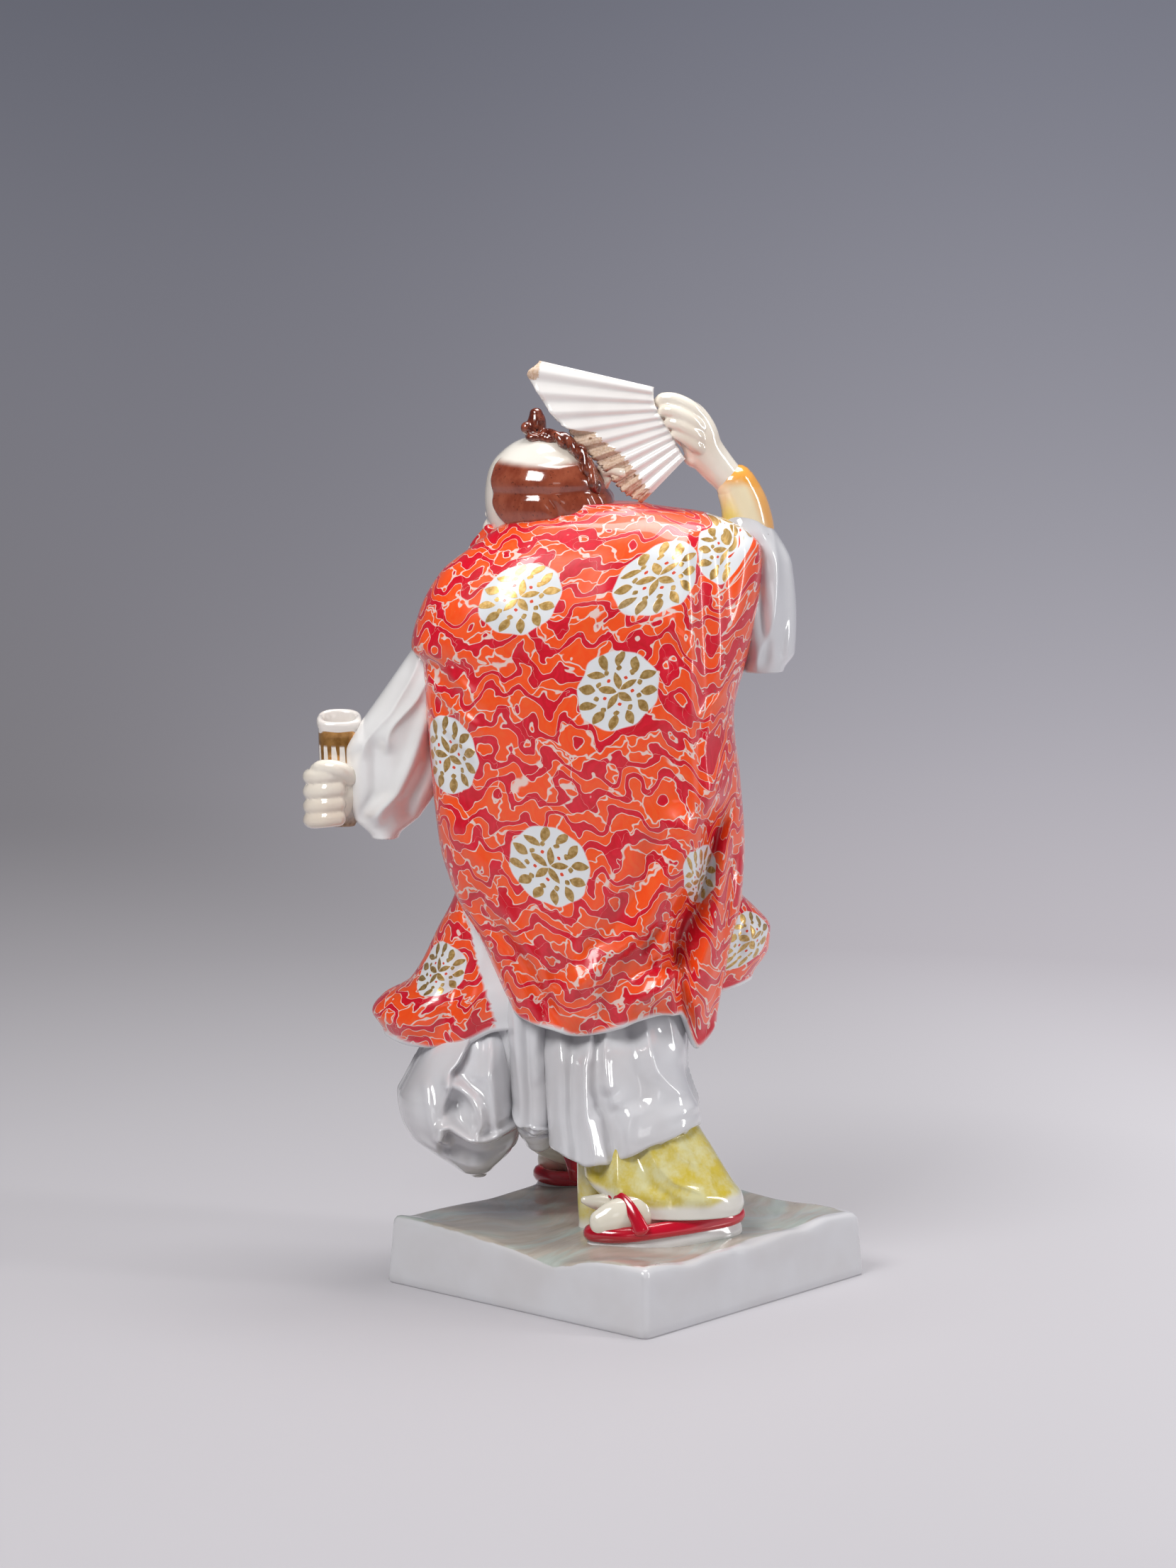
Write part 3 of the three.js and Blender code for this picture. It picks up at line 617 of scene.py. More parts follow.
NEAR_FOLDS = [
    fold([[104, -22], [60, -21], [46, -19.5]], 1.4, 2.4, 2.4, 40, 112),
    fold([[100, -17], [60, -17.2], [46, -16]], -1.3, 2, 2, 40, 112),
    fold([[100, -11], [83, -11.7], [74, -13.8], [62, -13.3], [46, -10.6]], 2.3, 2.6, 1.9, 40, 112,
         sharp=True),
    fold([[100, -8], [82, -9.4], [70, -9.8], [62, -9.6]], -1.5, 1.8, 1.8, 58, 112),
    fold([[100, -6], [83, -7], [71, -6.4], [62, -4.6]], 2.4, 1.8, 2.4, 60, 112, sharp=True),
    fold([[68, -6], [60, -7], [53, -5.3], [46, -4]], -2.2, 2.6, 3, 42, 70),
    fold([[60, 1], [52, -0.6], [46, -1]], 1.0, 2.4, 2.6, 42, 64),
    fold([[100, 0], [80, 1.6], [66, 4]], -1.4, 3.4, 4, 58, 108),
    fold([[100, 4], [83, 6.8], [73, 9], [67.8, 12.3], [62, 17.3], [56, 22.3]], 2.6, 4.4, 2.2, 50, 108,
         sharp=True),
    fold([[96, 12], [82, 14.6], [74, 16.6]], 1.0, 1.8, 2, 70, 104, sharp=True),
]
PUFF_LINES = [
    (4.4, 1.5, [(-57.4, 48.4), (-59.4, 50.4), (-59.2, 53.4), (-56.6, 54.4), (-53, 52.4), (-49.5, 50.4),
                (-46, 49.8), (-42, 50.4), (-38, 51.8), (-35, 52.8)]),
    (3.4, 1.9, [(-56.6, 67.4), (-53.4, 66), (-50.4, 64), (-48.4, 62), (-47, 59.6), (-46.3, 55.4),
                (-47.6, 52.2)]),
    (2.8, 1.8, [(-43.5, 80), (-43.4, 72), (-42.1, 61), (-41.4, 55.4), (-41, 52.4)]),
    (2.0, 2.4, [(-48.8, 86), (-47.2, 76), (-46.6, 70)]),
    (-5.2, 1.9, [(-37.4, 88), (-37.8, 76), (-36.6, 66), (-35.6, 56)]),
    (1.6, 1.7, [(-64, 66), (-63.2, 61), (-62.4, 56), (-60.4, 50)]),
    (1.7, 2.0, [(-66, 48), (-61, 45.6), (-56, 42.6), (-51.6, 38)]),
    (1.2, 3.0, [(-60.6, 80), (-66, 68), (-69, 58)]),
]
GATHER_FOLDS = [
    fold([[58, -36.4], [54, -33.6], [51.4, -30], [52.4, -25.8]], 2.2, 1.4, 1.4, 50, 60, sharp=True),
    fold([[56, -36.6], [51, -33.6], [48.6, -30], [50, -25.4]], -1.8, 1.6, 1.6, 46, 58),
    fold([[100, -35.5], [80, -34.8], [60, -33]], 1.3, 1.4, 1.8, 50, 108, sharp=True),
    fold([[100, -32.6], [80, -32], [60, -31]], -1.6, 1.4, 1.5, 50, 108),
    fold([[100, -29.6], [80, -29.3], [58, -29.4]], 1.5, 1.6, 2, 48, 108),
    fold([[72, -27.4], [62, -26.4], [54, -26.6]], 1.2, 1.6, 1.6, 50, 78, sharp=True),
    fold([[64, -29.4], [54, -29.2]], -1.1, 1.6, 1.6, 50, 70),
]


def normals_of(piece):
    flat = np.empty(len(piece.data.vertices) * 3, np.float32)
    piece.data.vertices.foreach_get("normal", flat)
    normal = flat.reshape(-1, 3)
    backward = normal[:, 0] * math.sin(FIGURE_TURN) - normal[:, 1] * math.cos(FIGURE_TURN)
    return normal, backward


def emboss(piece, folds, fade=6, uneven=0.3, seed=1):
    """Raises folds on the side of a body that looks away from the chest."""
    x, y, z = figure_places(piece)
    normal, backward = normals_of(piece)
    push = folded(folds, x, z, fade) * np.clip(backward, 0, 1) ** 0.6 + uneven * lumps(x + y, z, 6, seed)
    move_points(piece, coordinates(piece) + normal * (push * MM)[:, None])


def pleat_front(piece, middle, count, depth, seed):
    """Presses hanging folds into the sides of a body that look forward and outward."""
    x, y, z = figure_places(piece)
    normal, backward = normals_of(piece)
    turn = np.arctan2(y - middle[1], x - middle[0])
    phase = turn * count / 2 + 0.8 * np.sin(z / 12 + seed) + 0.9 * lumps(x, z, 13, seed)
    wave = 1.6 * np.exp(-2.4 * (np.sqrt(np.sin(phase) ** 2 + 0.06) - 0.24)) - 0.65
    lowest, highest = z.min(), z.max()
    ends = smoothstep(lowest + 1, lowest + 9, z) * (1 - 0.4 * smoothstep(highest - 12, highest, z))
    push = depth * wave * ends * smoothstep(0.25, -0.2, backward)
    move_points(piece, coordinates(piece) + normal * (push * MM)[:, None])


def seat_relief(x, z, sine):
    return 1.4 * np.cos(x / 3.1 + 0.3 * np.sin(z / 7)) + 0.5 * lumps(x, z, 6, 2)


def near_relief(x, z, sine):
    back, front = 1.35 * folded(NEAR_FOLDS, x, z, 5), 1.5 * np.cos((x + 3) / 2.6)
    return np.where(sine < 0, back, front) + 0.3 * lumps(x, z, 6, 9)


def near_hem(x, sine):
    back = curve([-26, 2.6], [-19.5, 1.4], [-14, -1], [-10, 0.2], [-6, -0.2], [-2, 1.6], [3, 3.4],
                 [8, 5.8], [14, 7.4], [22, 9.9])(x)
    return np.where(sine < 0, back, curve([-26, 2], [22, 9.9])(x))


def puff_relief(x, z, sine):
    """The drawn-up leg: an overlapping lobe, a turned cloth edge with its hollow, and drawn lines."""
    lobe = curve([104, -44], [81, -49.8], [73.7, -53.3], [70.2, -56.1], [66, -56.4], [59.7, -58.2],
                 [50, -59])(z)
    right = x - lobe
    lobe_edge = -4.2 * smoothstep(-0.6, 1.2, right) * (1 - smoothstep(3, 13, right))
    lobe_edge = lobe_edge + 1.2 * bell(right + 0.8, 1.8)
    lobe_edge *= smoothstep(56, 62, z) * (1 - smoothstep(76, 88, z))
    cloth_edge = curve([-60, 50.5], [-56.5, 52.6], [-53, 51.4], [-49.5, 49.4], [-46, 48.8],
                       [-42, 49.4], [-38, 50.8], [-34, 52])(x)
    below = cloth_edge - z
    underside = -5.2 * smoothstep(0.2, 1.8, below) * (1 - smoothstep(4, 10, below))
    underside = underside * smoothstep(-61, -57, x)
    basin = -4.4 * bell(x + 53.6, 4.4) * bell(z - 57.6, 5.2)
    drawn = sum(height * on_line(line, x, z, width) for height, width, line in PUFF_LINES)
    bottom = 2.0 * bell(x + 47, 6) * bell(z - 41, 5)
    front = 1.8 * np.cos((x + 53) / 4.2) * smoothstep(34, 50, z)
    back = drawn * (1 - 0.85 * smoothstep(76, 88, z)) + lobe_edge + underside + basin + bottom
    return np.where(sine < 0, back, front) + 0.4 * lumps(x, z, 7, 31)


def make_trousers():
    pieces = []
    seat = drape_rings(
        low=62, top=104, left=curve([62, -50], [104, -50]), right=curve([62, 16], [104, 18]),
        back=curve([62, 8], [80, 12], [104, 14]), front=curve([62, 30], [80, 38], [104, 36]), box=even(0.9),
        around=200, levels=40, relief=seat_relief,
    )
    pieces.append(skin("trouser_seat", seat))

    near = drape_rings(
        low=46, top=104, left=curve([46, -25], [60, -26], [104, -30]),
        right=curve([46, 23.4], [53, 22.6], [60, 20.4], [69, 18.8], [81, 19.6], [104, 24]),
        back=curve([46, 34], [60, 31], [76, 25.5], [84, 19.5], [104, 10]),
        front=curve([46, 2], [78, 12], [104, 18]), box=even(0.86), around=260, levels=110,
        relief=near_relief, hem=near_hem, lip=(6, 5, 2.6),
    )
    pieces.append(skin("trouser_near", near))
    pleat_front(pieces[-1], (0, -8), 17, 1.5, 3)

    puff = drape_rings(
        low=34.2, top=104,
        left=curve([34.2, -50.5], [35.5, -53], [38.5, -57.4], [43, -64.5], [47.4, -69.9], [54, -73.0],
                   [60, -73.6], [64, -71.8], [69.4, -68.9], [76.5, -64.9], [90, -58], [104, -54]),
        right=curve([34.2, -45], [36.9, -42.6], [40.7, -38.7], [44, -36], [50, -34], [60, -31], [104, -28]),
        back=curve([34.2, 4], [37, 10], [44, 17], [55, 21], [66, 18.5], [76, 13], [82, 8], [90, 3],
                   [104, 0]),
        front=curve([34.2, 6], [38, 17], [44, 26], [60, 34], [80, 34], [104, 28]), box=even(0.94),
        around=260, levels=150, relief=puff_relief,
    )
    pieces.append(skin("trouser_puff", puff))
    pleat_front(pieces[-1], (-50, 4), 15, 1.1, 8)
    gather = limb("trouser_gather", [[-32.5, -1, 104, 9, 12], [-31.6, -3, 88, 8.2, 12.4],
                                     [-30.8, -5, 74, 7, 11.6], [-30, -6.5, 62, 7, 10.6],
                                     [-29.4, -6.5, 54, 6.8, 9.6], [-28.2, -5, 48, 5, 6.6]], 110, 26)
    emboss(gather, GATHER_FOLDS, 5, 0.25, 5)
    pieces.append(gather)
    pieces.append(limb("trouser_far", [[-18, 26, 88, 19, 17], [-14, 32, 62, 16, 15], [-12, 38, 46, 13, 13],
                                       [-10, 42, 38, 10, 10]], 260, 44))
    pleat_front(pieces[-1], (-15, 32), 15, 1.9, 5)
    return pieces


def make_leggings():
    folds = [
        fold([[66, -3.4], [40, -3.2], [28, -3]], 1.5, 1.4, 1.8, 20, 72, sharp=True),
        fold([[62, -8], [26, -8]], -1.0, 2, 2, 20, 70),
        fold([[60, -12], [26, -12]], 0.8, 2, 2, 20, 70),
        fold([[60, 2], [46, 9], [40, 15], [36, 24]], 1.2, 2.6, 3.6, 30, 66, sharp=True),
        fold([[54, 12], [47, 18], [41, 26]], 1.0, 1.8, 4, 36, 62, sharp=True),
        fold([[50, 2], [40, 6], [34, 14]], -0.9, 3, 3, 30, 56),
        fold([[50, 20], [44, 25], [39, 31]], -0.8, 2, 2.4, 36, 56),
    ]

    def relief(x, z, sine):
        return np.where(sine < 0, folded(folds, x, z, 5), 0) + 0.25 * lumps(x, z, 5, 14)

    near = drape_rings(
        low=28.5, top=68, left=curve([28.5, -4], [33, -8], [40, -13.5], [68, -15]),
        right=curve([28.5, 36.2], [31, 37], [34, 36.4], [38, 33.4], [46, 28.2], [55, 22.2], [68, 14]),
        back=curve([28.5, 39.5], [34, 39.5], [40, 36.5], [50, 31], [68, 25]),
        front=curve([28.5, -12], [50, -6], [68, 4]), box=even(0.92), around=220, levels=80, relief=relief,
    )
    near_piece = skin("legging_near", near)
    x, y, z = figure_places(near_piece)
    border = curve([-14, 38], [-3, 35.4], [4, 33], [10, 32.2], [25, 32.3], [34, 34.6])(x)
    border = border + 0.6 * lumps(x, y, 6, 3)
    mark(near_piece, "yellow", smoothstep(-0.9, 1.3, z - border))
    prop = limb("legging_prop", [[-10.4, -14, 60, 6, 6], [-11, -16, 44, 5, 5.4], [-11.2, -17, 30, 4.6, 4.8],
                                 [-11, -17.4, 22.6, 4.4, 4.4], [-11, -17.4, 20.4, 5.0, 4.8]], 40, 14)
    z = figure_places(prop)[2]
    mark(prop, "yellow", smoothstep(22, 26, z))
    far = limb("legging_far", [[-10, 41, 46, 8.5], [-7, 44, 34, 8.5], [-4, 45, 26, 9.5, 8.5]], 48, 14)
    x, y, z = figure_places(far)
    mark(far, "yellow", smoothstep(29, 32, z + lumps(x, y, 5, 6)))
    return [near_piece, prop, far]


# Feet

def foot_place(heel, toe, tilt):
    """A foot's length, and a function that places points along it and aside from it."""
    length = math.hypot(toe[0] - heel[0], toe[1] - heel[1])
    turn = math.atan2(toe[1] - heel[1], toe[0] - heel[0])
    middle = ((heel[0] + toe[0]) / 2, (heel[1] + toe[1]) / 2)

    def place(along, aside, z):
        return [middle[0] + along * math.cos(turn) - aside * math.sin(turn),
                middle[1] + along * math.sin(turn) + aside * math.cos(turn),
                z + tilt * (0.5 - along / length)]

    return length, place


def slab(name, length, place, profile, around=160):
    """A layer of a sandal, through outlines of (height, outset) from its underside to its top."""
    rows = []
    for z, grow in profile:
        row = []
        for j in range(around):
            a = 2 * math.pi * j / around
            along, across = math.cos(a), math.sin(a)
            width = 9.2 + 1.6 * along - 1.4 * along * along
            wave = 0.3 * math.sin(3 * a + z) + 0.16 * math.sin(8 * a)
            row.append(place((length / 2 + grow) * rounded(along, 0.92),
                             (width + grow + wave) * rounded(across, 0.92),
                             z + 0.25 * math.sin(4 * a + 1)))
        rows.append(row)
    return skin(name, np.array(rows))


def make_foot(side, heel, toe, ground, aside, tilt):
    """A split-toed sock on a sandal. aside is 1 or -1, the side away from the big toe."""
    length, place = foot_place(heel, toe, tilt)
    tip = length / 2
    sole = slab(side + "_sole", length, place, [(ground - 3.5, -1.2), (ground - 1.0, 0.0),
                                                (ground + 0.6, -0.3), (ground + 1.8, -0.9),
                                                (ground + 2.8, -1.1), (ground + 3.2, -1.5)])
    rim = slab(side + "_rim", length, place, [(ground + 1.6, -2.2), (ground + 1.7, -0.9),
                                              (ground + 2.3, 0.2), (ground + 3.6, 0.8), (ground + 5.0, 0.7),
                                              (ground + 6.2, 0), (ground + 6.8, -1.1), (ground + 6.6, -2.2),
                                              (ground + 5.4, -3.8)])
    body = [
        limb("sock_body", [[*place(-tip + 4, 0, ground + 8.2), 6.0, 4.4],
                           [*place(-tip / 2, 0, ground + 8.6), 7.2, 5.0],
                           [*place(2, 0, ground + 9.6), 7.6, 5.4],
                           [*place(tip - 13, 0.6 * aside, ground + 8.6), 7.4, 4.8]], 40, 10),
        limb("sock_big_toe", [[*place(tip - 17, -4.2 * aside, ground + 10.8), 4, 3.4],
                              [*place(tip - 9, -5 * aside, ground + 11.8), 3.2, 2.8],
                              [*place(tip - 3.4, -5.4 * aside, ground + 13), 2.2, 1.9],
                              [*place(tip - 0.6, -5.6 * aside, ground + 13.8), 1.2, 1.1]], 24, 10),
        limb("sock_toes", [[*place(tip - 17, 2.4 * aside, ground + 9.4), 6.4, 4.6],
                           [*place(tip - 9, 2.8 * aside, ground + 8.6), 6.2, 4.3],
                           [*place(tip - 3.6, 2.8 * aside, ground + 7.4), 4.6, 3.2]], 32, 10),
    ]
    sock = fused(side + "_sock", body, 0.5, 4)
    straps = []
    for label, reach in [("strap", 1), ("strap_inner", -1)]:
        track = [[*place(tip - 9.4, -1.8 * aside, ground + 14.6), 1.7, 0.9],
                 [*place(tip - 10.6, (-1.8 + 4.0 * reach) * aside, ground + 14.8), 1.9, 1.0],
                 [*place(tip - 12.2, (-1.8 + 7.2 * reach) * aside, ground + 12.8), 2.0, 1.0],
                 [*place(tip - 13.8, (-1.8 + 9.8 * reach) * aside, ground + 9.6), 2.1, 1.1],
                 [*place(tip - 15.2, (-1.0 + 10.8 * reach) * aside, ground + 5.6), 2.6, 1.3]]
        straps.append(limb(f"{side}_{label}", track, 28, 10))
    return {"sole": sole, "rim": rim, "sock": sock, "straps": straps}


# Sleeves, arms and hands

def make_sleeves():
    left_folds = [
        fold([[206, -60], [190, -66], [176, -76]], 1.3, 2.4, 2, 170, 212, sharp=True),
        fold([[204, -66], [186, -74], [172, -84]], 1.0, 1.6, 1.6, 168, 210, sharp=True),
        fold([[196, -60], [180, -64], [160, -72], [150, -80]], 1.6, 3, 3, 146, 204),
        fold([[182, -60], [168, -64], [152, -70]], -1.6, 3, 3, 146, 192),
        fold([[172, -80], [160, -80], [150, -84]], -1.2, 2.4, 3, 144, 178),
    ]

    def left_relief(x, z, sine):
        return 1.9 * folded(left_folds, x, z, 6) + 0.3 * lumps(x, z, 7, 41)

    left = drape_rings(
        low=143, top=210,
        left=curve([143, -82], [149, -87.5], [161, -90], [171, -90.5], [178, -86.5], [191, -77.5],
                   [206, -67], [210, -64]),
        right=curve([143, -73], [150, -66], [160, -60], [175, -56], [210, -52]),
        back=curve([143, -2], [155, 2], [175, 4], [210, 4]),
        front=curve([143, 15], [155, 22], [175, 24], [210, 18]), box=even(1.0), around=200, levels=120,
        relief=left_relief,
    )
    right_folds = [
        fold([[251, 41], [243, 45.6], [230, 47.4], [214, 46], [200, 41]], 2.0, 3.6, 1.2, 196, 256,
             sharp=True),
        fold([[246, 44], [232, 49.6], [216, 50.4], [204, 49]], -1.6, 1.8, 1.8, 198, 252),
        fold([[240, 36], [220, 38.5], [202, 40]], 1.2, 2.4, 2.4, 196, 246),
        fold([[232, 41], [216, 42.6], [204, 44]], -1.0, 1.8, 1.8, 198, 240),
    ]

    def right_relief(x, z, sine):
        return folded(right_folds, x, z, 6) + 0.3 * lumps(x, z, 7, 43)

    right = drape_rings(
        low=197, top=251, left=curve([197, 36], [215, 30], [235, 28], [251, 31]),
        right=curve([197, 50], [203, 53.5], [214, 54], [231, 52.5], [241, 47.5], [251, 39.5]),
        back=curve([197, 3], [215, 6], [240, 3], [251, 0]),
        front=curve([197, 15], [215, 22], [240, 20], [251, 13]), box=even(0.95), around=180, levels=100,
        relief=right_relief,
    )
    return [skin("sleeve_left", left), skin("sleeve_right", right)]


def make_cuff():
    """The inner sleeve, washed orange towards the wrist and yellow on its other side."""
    piece = limb("cuff", [[38.6, 8, 239, 8.4, 7.6], [38.2, 6.6, 244, 8.2, 7.4], [37, 5, 250, 7.5, 6.8],
                          [34.8, 3.8, 255.4, 6.7, 6.2], [33.6, 3.2, 257.6, 6.2, 5.8]], 72, 12)
    x, _, z = figure_places(piece)
    aside = x + (z - 251) * 0.4
    mark(piece, "orange", np.clip(smoothstep(255, 259, z) + smoothstep(1.5, 5.5, aside - 37) * 0.9, 0, 1))
    mark(piece, "yellow", 0.8 * smoothstep(1, 5, 36.5 - aside) * smoothstep(256, 246, z))
    return piece


def make_raised_hand():
    parts = [
        limb("wrist", [[35, 4.6, 253, 5, 4.8], [32, 3.4, 258, 5.2, 4.8], [27.8, 1.4, 262.8, 5.7, 4.6],
                       [24, -0.6, 267.8, 6.1, 4.4], [22, -1.6, 273, 6.2, 4.2], [19.4, -2.4, 277.6, 5.6, 3.8],
                       [16.6, -2.6, 280.8, 4.2, 3.2]], 48, 10),
        limb("finger_first", [[24, -2.4, 276.6, 2.4], [20, -4.2, 280.6, 2.5], [15.4, -4.9, 283.2, 2.3],
                              [11.4, -4.4, 283.8, 2.0], [9.4, -3.4, 282.6, 1.6]], 20, 8),
        limb("finger_second", [[23.6, -3.2, 273.6, 2.4], [20, -5.4, 276.8, 2.5], [15.8, -6.2, 279.4, 2.3],
                               [12.2, -5.8, 280.2, 2.0], [10.4, -4.6, 279.4, 1.6]], 20, 8),
        limb("finger_third", [[23.4, -3.4, 270.6, 2.3], [20.6, -5.6, 272.9, 2.4], [17, -6.5, 275.4, 2.2],
                              [13.8, -6, 276.4, 1.9], [12.2, -4.6, 275.8, 1.5]], 20, 8),
        limb("finger_fourth", [[23.4, -3.2, 267.8, 2.1], [21, -5.2, 269.4, 2.2], [18.2, -6, 271.5, 2.0],
                               [15.6, -5.4, 272.7, 1.8], [14, -4, 272.4, 1.4]], 20, 8),
        limb("thumb", [[25, 3, 265, 3.2], [20.6, 4.6, 268.4, 2.9], [16, 4.4, 272.6, 2.5], [12.6, 3, 276, 2.2],
                       [11, 1.8, 278, 1.7]], 22, 8),
        ball("thumb_root", [21.8, 0.6, 265], [4.2, 4.2, 3.4]),
    ]
    return fused("raised_hand", parts, 0.42, 3)


def make_fist():
    parts = [
        limb("fist_wrist", [[-80, 11, 162, 6, 6], [-85, 11, 160.4, 6.2, 6.2], [-89, 10.4, 159, 7.2, 7.2],
                            [-92, 10, 158, 8, 8.4]], 36, 8),
        ball("palm", [-94, 9.5, 157.2], [7.6, 8.6, 10.2]),
    ]
    for number, z in enumerate([163.6, 158.8, 154, 149.6]):
        parts.append(limb(f"fist_finger_{number}", [[-92, 2.4, z + 0.6, 2.9], [-96.4, 1.6, z + 0.2, 2.9],
                                                    [-100.2, 4.6, z - 0.6, 2.8], [-101, 9.5, z - 1, 2.7],
                                                    [-97, 14.5, z - 0.8, 2.4]], 18, 8))
    parts.append(limb("fist_thumb", [[-88, 4, 163, 3], [-92, 0.6, 166, 2.7], [-97, 1.4, 166.6, 2.3],
                                     [-99.4, 4, 165.6, 1.9]], 18, 8))
    return fused("fist", parts, 0.42, 5)


TUBE_CENTRE = (-92.2, 11.0)


def tube_slant(z):
    """How far the open end leans up on one side."""
    return 1.5 * smoothstep(170, 180, z)


def make_tube():
    """The cup, outside from its foot to the rim and then down the inside to its floor."""
    rows = []
    profile = [(146.4, -3.2), (146.4, -2.2), (147.2, -1.8), (152, -1.2), (160, -0.8), (170, -0.55),
               (176, -0.45), (178.4, -0.35), (179.2, 0.0), (180.6, 0.1), (181.4, -0.1), (181.9, -0.7),
               (181.8, -1.4), (181.0, -1.9), (178, -2.0), (170, -2.1), (166.4, -2.4)]
    for z, grow in profile:
        row = []
        for j in range(96):
            a = 2 * math.pi * j / 96
            tilt = tube_slant(z) * math.sin(a)
            x = (7.1 + grow) * rounded(np.cos(a), 0.74)
            y = (6.2 + grow) * rounded(np.sin(a), 0.74)
            row.append([TUBE_CENTRE[0] + x, TUBE_CENTRE[1] + y, z + tilt])
        rows.append(row)
    piece = skin("tube", np.array(rows))
    x, y, z = figure_places(piece)
    around = np.arctan2(y - TUBE_CENTRE[1], x - TUBE_CENTRE[0])
    level = z - tube_slant(z) * np.sin(around)
    outside = np.hypot((x - TUBE_CENTRE[0]) / 6.6, (y - TUBE_CENTRE[1]) / 5.6) > 0.92
    band = smoothstep(172.4, 172.8, level) * (1 - smoothstep(178, 178.4, level))
    lozenge = (np.abs((around * 7 / math.pi) % 1 - 0.5) * 2 + np.abs(level - 168.6) / 2.6) < 1
    mark(piece, "gold", np.where(outside, np.maximum(band, lozenge * 1.0), 0))
    mark(piece, "bare", 1 - smoothstep(148, 152, z))
    return piece


# The fan

FAN_PIVOT = (34, 281.5)


def make_fan():
    """A pleated leaf between two angles about its pivot, with a chipped outer edge."""
    near = curve([167, 63], [171, 66], [174, 63.8], [179, 60], [183, 57.4], [187.5, 53], [190, 46],
                 [195, 42.8], [204, 38.6], [213, 37.6], [226, 38])
    far = curve([167, 63], [171, 66], [174, 63.8], [179, 60], [183, 57.4], [187.5, 53.4], [193.5, 51.4],
                [199, 48.4], [206, 46], [218, 44.4], [226, 42.6])
    pleats, first, last = 10, 167, 226
    inner = curve([167, 27], [176, 26.4], [190, 24], [204, 22.6], [215, 22.8], [226, 23.4])
    rows, broken = [], []
    for degrees in np.linspace(first, last, pleats * 16 + 1):
        a = math.radians(degrees)
        turn = (degrees - first) / (last - first) * pleats
        wave = abs(turn % 1 - 0.5) * 4 - 1
        wave = wave * (1.5 - 0.5 * wave * wave)
        start = float(inner(degrees))
        chipped = 0.5 * math.sin(degrees * 2.3) + 0.35 * math.sin(degrees * 5.1 + 1)
        chipped *= float(smoothstep(184, 189, degrees))
        reach_near, reach_far = float(near(degrees)) + chipped, float(far(degrees)) + 0.6 * chipped
        row, mask = [], []

        def put(reach, side, worn):
            x = FAN_PIVOT[0] + reach * math.cos(a)
            pleat = wave * 0.62 * (0.3 + 0.7 * reach / 60)
            thick = 2.6 * (0.8 + 0.2 * reach / 60)
            y = -6 - 0.06 * (4 - x) + pleat + side * thick / 2
            row.append([x, y, FAN_PIVOT[1] + reach * math.sin(a)])
            mask.append(worn)

        for k in range(26):
            put(start + (reach_near - start) * k / 25, -1, float(k == 25) * 0.5)
        for k in range(1, 7):
            reach = reach_near + (reach_far - reach_near) * k / 7
            put(reach + 0.3 * math.sin(k * 1.9 + degrees), -1 + 2 * k / 7, 1.0)
        for k in range(22):
            put(reach_far + (start - reach_far) * k / 21, 1, float(k == 0) * 0.5)
        put(start - 0.6, 0.4, 0)
        put(start - 0.6, -0.4, 0)
        rows.append(row)
        broken.append(mask)
    rings = np.array(rows)
    piece = skin("fan", rings)
    x, y, z = figure_places(piece)
    reach = np.hypot(x - FAN_PIVOT[0], z - FAN_PIVOT[1])
    angle = np.degrees(np.arctan2(z - FAN_PIVOT[1], x - FAN_PIVOT[0])) % 360
    rough = over_grid(piece, np.array(broken)) * smoothstep(185, 189, angle)
    tip = smoothstep(61.5, 64, reach) * (1 - smoothstep(171.5, 173.5, angle))
    mark(piece, "worn", np.maximum(rough, tip))
    return piece


# The head

HEAD_CENTRE = np.array([-26.5, 5.0, 251.0])
FACE_AHEAD = np.array([-0.66, 0.75, 0.0]) / math.hypot(0.66, 0.75)
FACE_SIDE = np.array([0.75, 0.66, 0.0]) / math.hypot(0.66, 0.75)
FACE_SPIN = math.atan2(0.75, -0.66) - math.pi / 2


def face_at(aside, reach, height):
    """A place on the head, as the face looks: aside, ahead and up from the head's middle."""
    return list(HEAD_CENTRE + FACE_SIDE * aside + FACE_AHEAD * reach + np.array([0, 0, height]))


def from_face(x, y, z):
    gap = np.stack([x, y, z], -1) - HEAD_CENTRE
    return gap @ FACE_SIDE, gap @ FACE_AHEAD, gap[..., 2]


